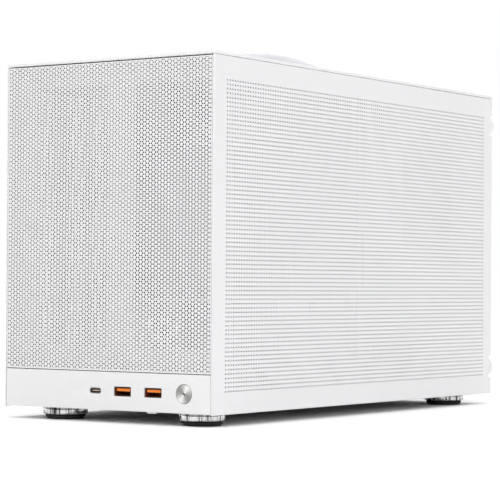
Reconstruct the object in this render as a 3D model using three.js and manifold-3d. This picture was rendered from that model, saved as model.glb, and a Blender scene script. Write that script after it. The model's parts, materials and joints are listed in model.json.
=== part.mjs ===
// Desktop computer tower: a small steel-and-aluminium case with perforated side panels, a mesh
// front over a port strip, four round feet, rear thumbscrews and a carrying strap on top, with the
// board, cooler, supply, graphics card, fans and wiring it holds.
// Millimetres, +Z up, the front faces -Y, +X is to the right seen from the front. The origin is on
// the surface the feet stand on, under the middle of the whole outline.
import * as THREE from "three";
import { mergeVertices } from "three/addons/utils/BufferGeometryUtils.js";
import Module from "manifold-3d";

const wasm = await Module();
wasm.setup();

// ---- driving dimensions ----
const BODY_W = 176; // over both side panels
const BODY_D = 382; // front face to rear edge
const BODY_H = 236; // panel bottom edge to top of the cover
const FOOT_H = 8;
const SCREW_OUT = 3.5; // thumbscrew heads stand this far behind the rear edge
const YF = -(BODY_D + SCREW_OUT) / 2; // front face
const YR = YF + BODY_D; // rear edge of the panels
const Z0 = FOOT_H; // bottom edge of the body
const ZT = FOOT_H + BODY_H; // top of the cover
const XO = BODY_W / 2; // outer face of a side panel
const PANEL_T = 2;
const COVER_T = 2;
const XI = XO - PANEL_T; // inner face of a side panel
const EDGE_X = XO - 1.2; // the same along its front edge
const SHEET = 1.2; // chassis steel
const GAP = 0.4;
const BAND_TOP = Z0 + 26; // the port strip ends here and the mesh starts
const PORT_Z = Z0 + 13.2; // centre line of the ports and the button
const USB_C_X = -8.3;
const USB_A_X = [14.6, 39.9];
const BUTTON_X = 65.1;
const BUTTON_R = 6.15;
const FOOT_R = 15.4;
const FEET = { front_left: [-49.4, -171.8 - 1.75], front_right: [66.3, -171.8 - 1.75], rear_left: [-49.4, 153 - 1.75], rear_right: [66.3, 153 - 1.75] };
const THUMB_R = 7.8;
const THUMB_X = 80.2;
const THUMB_Z = { bottom: Z0 + 20.9, top: Z0 + 212.4 };
const STRAP_W = 25;
const STRAP_T = 3; // thickness at its ends
const STRAP_SWELL = 2.5; // more than that at its middle
const STRAP_HALF = 136; // anchor to middle
const STRAP_PEAK = 19.85; // top of the strap over the cover at the middle
const STRAP_Y = -1.75;
const TRAY_X = 78.8; // inner face of the motherboard tray
const BOARD = { x0: 71, x1: 72.6, y0: 11.5, y1: 181.5, z0: 62, z1: 232 };
const CPU = [100, 160]; // Y and Z of the processor's middle
const INLET = [-58, 98]; // X and Z of the mains inlet

// ---- helpers ----
function solid(geometry) {
  const g = geometry.clone();
  g.deleteAttribute("normal");
  g.deleteAttribute("uv");
  const m = mergeVertices(g, 1e-5);
  const index = m.index ? Array.from(m.index.array) : null;
  return new wasm.Manifold(new wasm.Mesh({
    numProp: 3,
    vertProperties: Float32Array.from(m.attributes.position.array),
    triVerts: Uint32Array.from(index),
  }));
}
function geo(manifold) {
  const mesh = manifold.getMesh();
  const g = new THREE.BufferGeometry();
  const n = mesh.vertProperties.length / mesh.numProp;
  const pos = new Float32Array(n * 3);
  for (let i = 0; i < n; i++) for (let k = 0; k < 3; k++) pos[3 * i + k] = mesh.vertProperties[i * mesh.numProp + k];
  g.setAttribute("position", new THREE.BufferAttribute(pos, 3));
  g.setIndex(new THREE.BufferAttribute(Uint32Array.from(mesh.triVerts), 1));
  g.computeVertexNormals();
  return g;
}
const box = (x0, x1, y0, y1, z0, z1) =>
  solid(new THREE.BoxGeometry(x1 - x0, y1 - y0, z1 - z0).translate((x0 + x1) / 2, (y0 + y1) / 2, (z0 + z1) / 2));
// Cylinders along each axis from a to b.
const cylY = (r, a, b, x, z, n = 32, r2 = r) =>
  solid(new THREE.CylinderGeometry(r2, r, b - a, n).translate(0, (a + b) / 2, 0).translate(x, 0, z));
const cylZ = (r, a, b, x, y, n = 32, r2 = r) =>
  solid(new THREE.CylinderGeometry(r2, r, b - a, n).rotateX(Math.PI / 2).translate(x, y, (a + b) / 2));
const cylX = (r, a, b, y, z, n = 32, r2 = r) =>
  solid(new THREE.CylinderGeometry(r2, r, b - a, n).rotateZ(-Math.PI / 2).translate((a + b) / 2, y, z));
const join = (...parts) => parts.flat().reduce((a, b) => a.add(b));
const cut = (a, ...tools) => (tools.flat().length ? a.subtract(join(...tools)) : a);
// A rounded rectangle in the XZ plane, extruded along Y from y0 to y1.
function roundedXZ(cx, cz, w, h, r, y0, y1, steps = 3) {
  const s = new THREE.Shape();
  const x = cx - w / 2, z = cz - h / 2;
  s.moveTo(x + r, z).lineTo(x + w - r, z);
  s.absarc(x + w - r, z + r, r, -Math.PI / 2, 0, false);
  s.lineTo(x + w, z + h - r);
  s.absarc(x + w - r, z + h - r, r, 0, Math.PI / 2, false);
  s.lineTo(x + r, z + h);
  s.absarc(x + r, z + h - r, r, Math.PI / 2, Math.PI, false);
  s.lineTo(x, z + r);
  s.absarc(x + r, z + r, r, Math.PI, 1.5 * Math.PI, false);
  const g = new THREE.ExtrudeGeometry(s, { depth: y1 - y0, bevelEnabled: false, curveSegments: steps });
  return solid(g.rotateX(Math.PI / 2).translate(0, y1, 0));
}
// The same rectangle in the XY plane, from z0 to z1.
function roundedXY(cx, cy, w, h, r, z0, z1, steps = 3) {
  const s = new THREE.Shape();
  const x = cx - w / 2, y = cy - h / 2;
  s.moveTo(x + r, y).lineTo(x + w - r, y);
  s.absarc(x + w - r, y + r, r, -Math.PI / 2, 0, false);
  s.lineTo(x + w, y + h - r);
  s.absarc(x + w - r, y + h - r, r, 0, Math.PI / 2, false);
  s.lineTo(x + r, y + h);
  s.absarc(x + r, y + h - r, r, Math.PI / 2, Math.PI, false);
  s.lineTo(x, y + r);
  s.absarc(x + r, y + r, r, Math.PI, 1.5 * Math.PI, false);
  return solid(new THREE.ExtrudeGeometry(s, { depth: z1 - z0, bevelEnabled: false, curveSegments: steps }).translate(0, 0, z0));
}
function lathe(profile, n = 32) {
  // Profile is [radius, height] from the axis and back to it; the axis is +Z.
  return solid(new THREE.LatheGeometry(profile.map((p) => new THREE.Vector2(p[0], p[1])), n).rotateX(Math.PI / 2));
}
function cord(points, r, sides, steps) {
  const curve = new THREE.CatmullRomCurve3(points.map((p) => new THREE.Vector3(...p)), false, "centripetal");
  const s = new THREE.Shape();
  for (let i = 0; i < sides; i++) {
    const a = (2 * Math.PI * i) / sides;
    i ? s.lineTo(r * Math.cos(a), r * Math.sin(a)) : s.moveTo(r, 0);
  }
  return solid(new THREE.ExtrudeGeometry(s, { steps, bevelEnabled: false, extrudePath: curve }));
}
// A fan's square frame, open through the middle, centred on the origin with its axis along Y.
function fanFrame(size, depth, bore) {
  const h = size / 2;
  let f = roundedXZ(0, 0, size, size, 4, -depth / 2, depth / 2, 2);
  f = cut(f, cylY(bore, -depth / 2 - 1, depth / 2 + 1, 0, 0, 28));
  // Waist between the two mounting flanges, leaving the corners as posts.
  const w = h - 3.2, b = depth / 2 - 3.2;
  const waist = [box(-w + 10, w - 10, -b, b, h - 2.4, h + 1), box(-w + 10, w - 10, -b, b, -h - 1, -h + 2.4), box(h - 2.4, h + 1, -b, b, -w + 10, w - 10), box(-h - 1, -h + 2.4, -b, b, -w + 10, w - 10)];
  f = cut(f, ...waist);
  const holes = [];
  const c = h - 5;
  for (const sx of [-1, 1]) for (const sz of [-1, 1]) holes.push(cylY(2.1, -depth / 2 - 1, depth / 2 + 1, sx * c, sz * c, 6));
  f = cut(f, ...holes);
  // Motor mount and four struts on the back.
  const y1 = depth / 2, y0 = depth / 2 - 3;
  const struts = [];
  for (let i = 0; i < 4; i++) {
    const g = new THREE.BoxGeometry(bore + 2 - 10, 3, 3.2).translate((bore + 2 + 10) / 2, 0, 0).rotateY(Math.PI / 4 + (i * Math.PI) / 2 + 0.12).translate(0, (y0 + y1) / 2, 0);
    struts.push(solid(g));
  }
  return join(f, cylY(size * 0.2, y0, y1, 0, 0, 16), ...struts);
}
// A fan's rotor on the Y axis: a cup hub with swept blades.
function fanRotor(radius, hub, y0, y1, blades, thick = 1.6) {
  let r = cylY(hub, y0, y1, 0, 0, 20);
  r = cut(r, cylY(hub - 2, y0 + 2, y1 + 1, 0, 0, 12));
  const deep = y1 - y0;
  for (let i = 0; i < blades; i++) {
    const g = new THREE.BoxGeometry(radius - hub + 1.2, thick, deep * 1.18).rotateX(0.72).translate((radius + hub - 1.2) / 2, 0, 0);
    const m = solid(g.rotateY((2 * Math.PI * i) / blades).translate(0, (y0 + y1) / 2, 0));
    r = r.add(m);
  }
  // The blade tips are turned to the sweep circle, and the blades stay within the hub's depth.
  return r.intersect(cylY(radius, y0, y1, 0, 0, 28));
}

const part = new THREE.Group();
const look = (color, roughness, metalness = 0) => new THREE.MeshStandardMaterial({ color, roughness, metalness });
const WHITE = [0xecebed, 0.45, 0.05], MESHWHITE = [0xe9e8ea, 0.5, 0.05], STEEL = [0xb9babd, 0.4, 0.9], BLACK = [0x1c1c1e, 0.55, 0], CHROME = [0xd6d7da, 0.12, 1];
function add(name, shape, paint, place) {
  const g = shape instanceof THREE.BufferGeometry ? shape : geo(shape);
  const mesh = new THREE.Mesh(g, look(...paint));
  mesh.name = name;
  if (place) {
    const holder = new THREE.Group();
    if (place.position) holder.position.set(...place.position);
    if (place.rotation) mesh.rotation.set(...place.rotation);
    holder.add(mesh);
    part.add(holder);
  } else part.add(mesh);
  return mesh;
}

// ---- outer shell ----
{
  // Top cover: a flat plate over both side panels, turned down behind them at the rear.
  const plate = roundedXY(0, (YF + YR) / 2, BODY_W, BODY_D, 1.2, ZT - COVER_T, ZT, 3);
  const flange = box(-XO, XO, YR - 2, YR, ZT - 11.4, ZT - 0.5);
  const holes = [1, -1].map((s) => cylZ(2.3, ZT - COVER_T - 1, ZT + 1, 0, STRAP_Y + s * (STRAP_HALF + 8), 16));
  add("top_cover", cut(join(plate, flange), ...holes), WHITE);
}
function sidePanel(side) {
  // Built for the right side and mirrored for the left.
  let p = box(XI, XO, YF, YR, Z0, ZT - COVER_T - GAP);
  p = p.add(box(75, XO - 0.5, YR - 5.1, YR - 3.6, Z0 + 3, ZT - 15));
  for (const z of Object.values(THUMB_Z)) {
    p = p.subtract(box(XI - 1, XO + 1, YR - 3.5, YR + 1, z - 8.3, z + 8.3));
    p = p.subtract(join(box(70, THUMB_X, YR - 6, YR - 3, z - 2.6, z + 2.6), cylY(2.6, YR - 6, YR - 3, THUMB_X, z, 16)));
  }
  p = p.subtract(box(XI - 1, XO + 1, YR - 2.4, YR + 1, ZT - 11.8, ZT));
  // The sheet is thinner along the front edge, where the front pieces reach in behind it.
  p = p.subtract(box(XI - 1, EDGE_X, YF - 1, YF + 12, Z0 - 1, ZT));
  // Two push studs near the front edge.
  for (const z of [Z0 + 24, ZT - 26]) {
    p = p.add(cylX(2, 79.5, XI + 0.5, YF + 19, z, 8));
    p = p.add(solid(new THREE.SphereGeometry(3, 10, 6).translate(79.5, YF + 19, z)));
  }
  return side < 0 ? p.scale([-1, 1, 1]) : p;
}
add("right_panel", sidePanel(1), WHITE);
add("left_panel", sidePanel(-1), WHITE);
{
  // Front mesh: a shallow pan, its holes fine enough to be made as surface afterwards.
  const x = EDGE_X - GAP;
  let m = box(-x, x, YF, YF + 7, BAND_TOP + 0.5, ZT - COVER_T - 0.8);
  m = cut(m, box(-x + SHEET, x - SHEET, YF + 1.2, YF + 8, BAND_TOP + 0.5 + SHEET, ZT - COVER_T - 0.8 - SHEET));
  add("front_mesh", m, MESHWHITE);
}
{
  // Port strip: a plate with a return under the case and its four apertures.
  const x = EDGE_X - GAP;
  let b = box(-x, x, YF, YF + 2.5, Z0 + 0.5, BAND_TOP);
  b = b.add(box(-x, x, YF + 1, YF + 10, Z0 + 0.5, Z0 + 1.7));
  b = b.add(box(34.5, 41.5, YF + 1.2, YF + 3.2, Z0 - 0.5, Z0 + 1));
  const y0 = YF - 1, y1 = YF + 4;
  b = cut(b,
    roundedXZ(USB_C_X, PORT_Z, 9.9, 3.9, 1.9, y0, y1, 4),
    ...USB_A_X.map((ux) => roundedXZ(ux, PORT_Z, 14.3, 6.4, 0.6, y0, y1, 2)),
    cylY(BUTTON_R + 0.3, y0, y1, BUTTON_X, PORT_Z, 40));
  add("front_band", b, WHITE);
}

// ---- ports, button and their board ----
{
  let c = roundedXZ(USB_C_X, PORT_Z, 9.0, 3.2, 1.55, YF + 0.5, YF + 8.5, 5);
  c = cut(c, roundedXZ(USB_C_X, PORT_Z, 8.4, 2.6, 1.25, YF, YF + 7, 5));
  c = c.add(box(USB_C_X - 3.1, USB_C_X + 3.1, YF + 1.3, YF + 7.5, PORT_Z - 0.35, PORT_Z + 0.35));
  add("usb_c_port", c, [0x8f8f92, 0.35, 0.8]);
  USB_A_X.forEach((x, i) => {
    let a = roundedXZ(x, PORT_Z, 13.4, 5.7, 0.7, YF + 0.6, YF + 15, 2);
    a = cut(a, roundedXZ(x, PORT_Z, 12.6, 4.9, 0.4, YF, YF + 10, 2));
    a = a.add(box(x - 5.6, x + 5.6, YF + 1.3, YF + 11, PORT_Z + 0.25, PORT_Z + 2.1));
    add("usb_a_port_" + (i + 1), a, [0x6a4a3a, 0.4, 0.6]);
  });
  const zb = PORT_Z - 3.15;
  let io = box(-40, 56, YF + 3.2, YF + 22, zb - 1.6, zb);
  io = join(io, box(-34, -18, YF + 8, YF + 20, zb - 0.2, zb + 5), box(-2, 4, YF + 10, YF + 14, zb - 0.2, zb + 1.5), box(24, 30, YF + 10, YF + 16, zb - 0.2, zb + 2));
  io = cut(io, cylZ(1.7, zb - 4, zb + 2, -37, YF + 6, 10), cylZ(1.7, zb - 4, zb + 2, 52.5, YF + 18, 10));
  add("io_circuit_board", io, [0x1f3a2a, 0.5, 0]);
  const button = solid(new THREE.LatheGeometry([[0, 1.3], [0.45, 1.3], [0.45, 0.12], [BUTTON_R - 0.35, 0.12], [BUTTON_R, 0.45], [BUTTON_R, 3.2], [7.3, 3.2], [7.3, 4.4], [3.2, 4.4], [3.2, 6.2], [0, 6.2]].map((p) => new THREE.Vector2(p[0], p[1])), 32).translate(BUTTON_X, YF, PORT_Z));
  add("power_button", button, [0xc6c6c4, 0.3, 0.9]);
  const sw = join(cylY(6.2, YF + 8.2, YF + 22, BUTTON_X, PORT_Z, 24), cylY(9, YF + 13, YF + 15.5, BUTTON_X, PORT_Z, 6), box(BUTTON_X - 4, BUTTON_X - 3, YF + 21, YF + 26, PORT_Z - 1.2, PORT_Z + 1.2), box(BUTTON_X + 3, BUTTON_X + 4, YF + 21, YF + 26, PORT_Z - 1.2, PORT_Z + 1.2));
  add("power_switch", sw, BLACK);
}

// ---- feet ----
for (const [name, [x, y]] of Object.entries(FEET)) {
  // Chrome ring around a rubber pad that the case stands on.
  const ring = [[0, 3.1], [FOOT_R - 0.8, 3.1], [FOOT_R, 3.9], [FOOT_R, 7.6], [FOOT_R - 0.6, 8.4], [0, 8.4]];
  add("foot_ring_" + name, lathe(ring, 28), CHROME, { position: [x, y, 0] });
  const pad = [[0, 0], [12, 0], [13.6, 1.3], [13.6, 2.7], [0, 2.7]];
  add("foot_pad_" + name, lathe(pad, 20), [0x232325, 0.85, 0], { position: [x, y, 0] });
}

// ---- rear thumbscrews ----
for (const side of [-1, 1]) for (const [end, z] of Object.entries(THUMB_Z)) {
  let s = join(cylY(THUMB_R, 0, 6.8, 0, 0, 24), cylY(2, -5.2, 1, 0, 0, 10));
  const grooves = [];
  for (let i = 0; i < 6; i++) {
    const a = (2 * Math.PI * i) / 6;
    grooves.push(cylY(0.5, 1, 8, (THUMB_R + 0.05) * Math.cos(a), (THUMB_R + 0.05) * Math.sin(a), 4));
  }
  s = cut(s, ...grooves, box(-4.2, 4.2, 5.6, 8, -0.6, 0.6), box(-0.6, 0.6, 5.6, 8, -4.2, 4.2));
  add("thumbscrew_" + (side < 0 ? "left" : "right") + "_" + end, s, WHITE, { position: [side * THUMB_X, YR - 3.3, z] });
}

// ---- carrying strap ----
{
  // It swells downward from its flat ends to its middle.
  const arch = (y) => Math.pow(0.5 * (1 + Math.cos(Math.PI * Math.min(1, Math.abs(y) / STRAP_HALF))), 0.8);
  const over = (y) => 0.35 + STRAP_T + (STRAP_PEAK - STRAP_T - 0.35) * arch(y);
  const under = (y) => over(y) - STRAP_T - STRAP_SWELL * arch(y);
  const s = new THREE.Shape();
  const end = STRAP_HALF + 15, n = 28;
  const ys = [-end];
  for (let i = 0; i <= n; i++) ys.push(-STRAP_HALF + (2 * STRAP_HALF * i) / n);
  ys.push(end);
  ys.forEach((y, i) => (i ? s.lineTo(y, under(y)) : s.moveTo(y, under(y))));
  for (const y of [...ys].reverse()) s.lineTo(y, over(y));
  const g = new THREE.ExtrudeGeometry(s, { depth: STRAP_W, bevelEnabled: false });
  // Shape x runs along Y and shape y runs up.
  g.applyMatrix4(new THREE.Matrix4().set(0, 0, 1, -STRAP_W / 2, 1, 0, 0, STRAP_Y, 0, 1, 0, ZT, 0, 0, 0, 1));
  const holes = [1, -1].map((k) => cylZ(2.3, ZT - 1, ZT + 6, 0, STRAP_Y + k * (STRAP_HALF + 8), 16));
  add("carry_strap", cut(solid(g), ...holes), [0xe8e7ea, 0.7, 0]);
  for (const [name, k] of [["front", -1], ["rear", 1]]) {
    const yc = STRAP_Y + k * (STRAP_HALF + 8.5);
    let a = roundedXY(0, yc, STRAP_W + 9, 19, 4, ZT + 0.3, ZT + 4.7, 4);
    a = cut(a, box(-STRAP_W / 2 - 0.4, STRAP_W / 2 + 0.4, ...(k > 0 ? [yc - 12, yc + 7.3] : [yc - 7.3, yc + 12]), ZT - 1, ZT + 3.75));
    a = cut(a, cylZ(2.3, ZT, ZT + 8, 0, STRAP_Y + k * (STRAP_HALF + 8), 16));
    add("strap_anchor_" + name, a, STEEL);
    let screw = join(cylZ(4, ZT + 5.0, ZT + 6.1, 0, 0, 20, 3.4), cylZ(1.9, ZT - 5, ZT + 5.3, 0, 0, 12));
    screw = cut(screw, cylZ(1.5, ZT + 5.3, ZT + 9, 0, 0, 6));
    add("strap_screw_" + name, screw, STEEL, { position: [0, STRAP_Y + k * (STRAP_HALF + 8), 0] });
  }
}

// ---- chassis ----
const BX = 85.2; // outer face of the chassis sides
{
  let b = box(-BX, BX, YF + 10.4, YR - 7.3, Z0 + 0.8, Z0 + 0.8 + SHEET);
  for (const s of [-1, 1]) b = b.add(s > 0 ? box(BX - SHEET, BX, YF + 12.6, YR - 7.3, Z0 + 0.8, Z0 + 14) : box(-BX, -BX + SHEET, YF + 12.6, YR - 7.3, Z0 + 0.8, Z0 + 14));
  const slots = [];
  for (let i = 0; i < 9; i++) slots.push(box(-34, 46, -26 + i * 17, -19 + i * 17, Z0 - 1, Z0 + 3));
  for (const s of [-1, 1]) slots.push(cylX(3.6, s * BX - 3, s * BX + 3, YF + 19, Z0 + 24, 12));
  add("chassis_base", cut(b, ...slots), WHITE);
}
{
  const y0 = YR - 6.9, y1 = YR - 5.4;
  let r = box(-BX, BX, y0, y1, Z0 + 0.8, ZT - COVER_T - 0.6);
  const holes = [];
  holes.push(box(27.3, 72.6, y0 - 1, y1 + 1, 73.2, 231.3)); // connector shield
  holes.push(box(-44, 63.5, y0 - 1, y1 + 1, 32.5, 69)); // card slots
  holes.push(roundedXZ(...INLET, 20.6, 28, 1.5, y0 - 1, y1 + 1, 2)); // mains inlet
  for (const z of [-20, 20]) holes.push(cylY(1.9, y0 - 1, y1 + 1, INLET[0], INLET[1] + z, 10));
  for (const s of [-1, 1]) for (const z of Object.values(THUMB_Z)) holes.push(cylY(2.4, y0 - 1, y1 + 1, s * THUMB_X, z, 12));
  const disc = cylY(42, y0 - 1, y1 + 1, -30, 178, 28);
  const bars = [];
  for (let i = -5; i <= 5; i++) bars.push(box(-30 + i * 7.6 - 2.5, -30 + i * 7.6 + 2.5, y0 - 1, y1 + 1, 130, 226));
  holes.push(disc.intersect(join(...bars)));
  for (const sx of [-1, 1]) for (const sz of [-1, 1]) holes.push(cylY(2.1, y0 - 1, y1 + 1, -30 + sx * 41, 178 + sz * 41, 8));
  for (let i = 0; i < 5; i++) holes.push(box(-40 + i * 13, -33 + i * 13, y0 - 1, y1 + 1, 84, 118)); // vents below the fan
  for (let i = 0; i < 7; i++) holes.push(box(-66 + i * 19, -54 + i * 19, y0 - 1, y1 + 1, 15.5, 21.5)); // vents below the card
  add("rear_panel", cut(r, ...holes), WHITE);
}
{
  const y0 = YF + 11, y1 = YF + 11 + SHEET;
  let f = box(-BX, BX, y0, y1, Z0 + 2.5, ZT - COVER_T - 1);
  f = cut(f, box(-69, -8, y0 - 1, y1 + 1, 50, 227), box(16, 79, y0 - 1, y1 + 1, 50, 227), box(-52, 79, y0 - 1, y1 + 1, 12.2, 33));
  const back = YF + 26;
  f = join(f, box(BX - SHEET, BX, y0, back, Z0 + 14.4, ZT - COVER_T - 1), box(-BX, -BX + SHEET, y0, back, Z0 + 14.4, ZT - COVER_T - 1), box(-72, 72, y0, back, ZT - COVER_T - 2.2, ZT - COVER_T - 1));
  for (const s of [-1, 1]) for (const z of [Z0 + 24, ZT - 26]) f = f.subtract(cylX(3.6, s * BX - 3, s * BX + 3, YF + 19, z, 12));
  add("front_frame", f, WHITE);
}
for (const [name, s] of [["left", -1], ["right", 1]]) {
  const y0 = YF + 26.6, y1 = YR - 7.3, z1 = ZT - COVER_T - 0.6;
  const leg = s > 0 ? box(BX - SHEET, BX, y0, y1, z1 - 12, z1) : box(-BX, -BX + SHEET, y0, y1, z1 - 12, z1);
  const top = s > 0 ? box(73, BX, y0, y1, z1 - SHEET, z1) : box(-BX, -73, y0, y1, z1 - SHEET, z1);
  const holes = [];
  for (let i = 0; i < 4; i++) holes.push(cylZ(1.8, z1 - 3, z1 + 1, s * 77.5, -130 + i * 90, 8));
  add("top_rail_" + name, cut(leg.add(top), ...holes), WHITE);
}
{
  // Motherboard tray: a wall with a processor window, cable slots, a foot flange and four standoffs.
  let t = box(TRAY_X, TRAY_X + SHEET, 0, 180.2, Z0 + 2.4, ZT - COVER_T - 2.2);
  t = t.add(box(66, TRAY_X + 0.5, 0, 180.2, Z0 + 2.4, Z0 + 2.4 + SHEET));
  t = cut(t, box(TRAY_X - 1, TRAY_X + 3, 62, 138, 122, 198), box(TRAY_X - 1, TRAY_X + 3, 3, 9, 90, 130), box(TRAY_X - 1, TRAY_X + 3, 3, 9, 160, 210), box(TRAY_X - 1, TRAY_X + 3, 20, 80, 26, 50));
  for (const y of [17.9, 175.1]) for (const z of [68.4, 225.6]) t = t.add(cylX(3, BOARD.x1 + 0.3, TRAY_X + 0.5, y, z, 6));
  add("motherboard_tray", t, WHITE);
}
{
  // Centre bracket: a wall beside the power supply, a shelf under it and a foot.
  let c = box(-4.2, -3, YF + 12.6, -54, Z0 + 2.4, 226);
  c = join(c, box(-4.2, 83.4, YF + 12.6, -42, 82, 83.2), box(-24, -3.4, YF + 12.6, -54, Z0 + 2.4, Z0 + 3.6));
  c = cut(c, box(-6, 0, -150, -70, 12.6, 70), box(-30, 0, YF, -167, 0, 34), box(24, 76, -164, -52, 81, 85), box(-6, 0, -100, -66, 192, 216));
  add("centre_bracket", c, WHITE);
}

// ---- board and what is on it ----
{
  const { x0, x1, y0, y1, z0, z1 } = BOARD;
  let b = box(x0, x1, y0, y1, z0, z1);
  const on = (h, ya, yb, za, zb) => box(x0 - h, x0 + 0.2, ya, yb, za, zb);
  const bits = [
    on(3.2, CPU[0] - 28, CPU[0] + 28, CPU[1] - 27, CPU[1] + 27), // processor socket
    on(11, 46, 136, 64.8, 72.2), // card slot
    on(9, 25, 31.5, 84, 222), on(9, 34.5, 41, 84, 222), // memory slots
    on(12, 14, 21.5, 150, 202), // main power header
    on(10, 14, 20, 96, 124), // front lead header
    on(14, 142, 160, 118, 214), // regulator heatsink
    on(6, 58, 90, 86, 110), // chip cooler
    on(11, 120, 136, 214, 224), // processor power header
  ];
  b = join(b, ...bits);
  b = cut(b, box(x0 - 12, x0 - 3.5, 48, 134, 67.2, 69.8));
  b = cut(b, box(x0 - 10, x0 - 3.4, 26, 160, 0, 1));
  for (const y of [27.2, 36.7]) b = b.subtract(box(x0 - 10, x0 - 2.6, y, y + 2.1, 87, 219));
  const fins = [];
  for (let i = 0; i < 6; i++) fins.push(box(x0 - 15, x0 - 6, 140, 162, 124 + i * 15, 130 + i * 15));
  b = cut(b, ...fins);
  for (const y of [17.9, 175.1]) for (const z of [68.4, 225.6]) b = b.subtract(cylX(2, x0 - 1, x1 + 1, y, z, 10));
  add("motherboard", b, [0x17191c, 0.5, 0.1]);
}
for (const [i, y] of [[1, 27.2], [2, 36.7]]) {
  let m = box(38, 67.8, y + 0.4, y + 1.7, 87.6, 218.4);
  m = m.add(box(36.5, 60.5, y - 1.3, y + 3.4, 89, 217));
  add("memory_module_" + i, m, [0x2a2c30, 0.4, 0.5]);
}
{
  // Rear connectors in their shield.
  const X = BOARD.x0 - 0.3;
  let p = box(27.8, 72.1, YR - 6.6, YR - 5.5, 73.7, 230.8);
  const c = (h, z0, z1, out = YR - 3.6) => box(X - h, X, 163, out, z0, z1);
  p = join(p, c(16, 80, 95), c(9, 100, 115.5), c(16, 120, 135), c(29, 140, 156.5), c(16, 161, 176), c(9, 181, 190), c(34, 196, 208));
  const holes = [];
  const socket = (a, b, z0, z1) => holes.push(box(X - b, X - a, YR - 9, YR, z0, z1));
  for (const z of [80, 120, 161]) { socket(1.6, 6.6, z + 1, z + 14); socket(9, 14.4, z + 1, z + 14); }
  socket(1.8, 7.2, 101.2, 114.3);
  socket(15.5, 27.5, 142, 154.5); socket(2, 7.5, 142, 154.5);
  socket(2.5, 6, 182.2, 188.8);
  for (const k of [0, 1, 2]) holes.push(cylY(2.4, YR - 9, YR, X - 6 - 11 * k, 202, 12));
  add("rear_io_block", cut(p, ...holes), STEEL);
}
{
  // Tower cooler: base, four heat pipes and a stack of fins.
  const [cy, cz] = CPU;
  const pieces = [box(60, BOARD.x0 - 3.6, cy - 20, cy + 20, cz - 20, cz + 20)];
  for (const dz of [-33, -20, 20, 33]) pieces.push(cylX(3, -50, 64, cy + (Math.abs(dz) > 25 ? 6 : -6), cz + dz, 6));
  pieces.push(box(58, 66, cy - 10, cy + 10, cz - 36, cz + 36));
  for (let i = 0; i < 8; i++) pieces.push(box(-48 + i * 10.4, -48 + i * 10.4 + 1, cy - 24, cy + 25, cz - 45, cz + 45));
  add("cpu_heatsink", join(...pieces), [0xc2c4c8, 0.35, 0.9]);
  add("cpu_fan_frame", fanFrame(92, 25, 43.5), BLACK, { position: [-11, cy - 24.5 - 12.5, cz] });
  add("cpu_fan_rotor", fanRotor(41.5, 16.5, -11.3, 8.9, 7), [0x2c2d30, 0.5, 0], { position: [-11, cy - 24.5 - 12.5, cz] });
}
{
  const yc = YR - 7.3 - 12.5;
  add("rear_fan_frame", fanFrame(92, 25, 43.5), BLACK, { position: [-30, yc, 178], rotation: [0, 0, 0] });
  add("rear_fan_rotor", fanRotor(41.5, 16.5, -11.3, 8.9, 7), [0x2c2d30, 0.5, 0], { position: [-30, yc, 178] });
}

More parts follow.
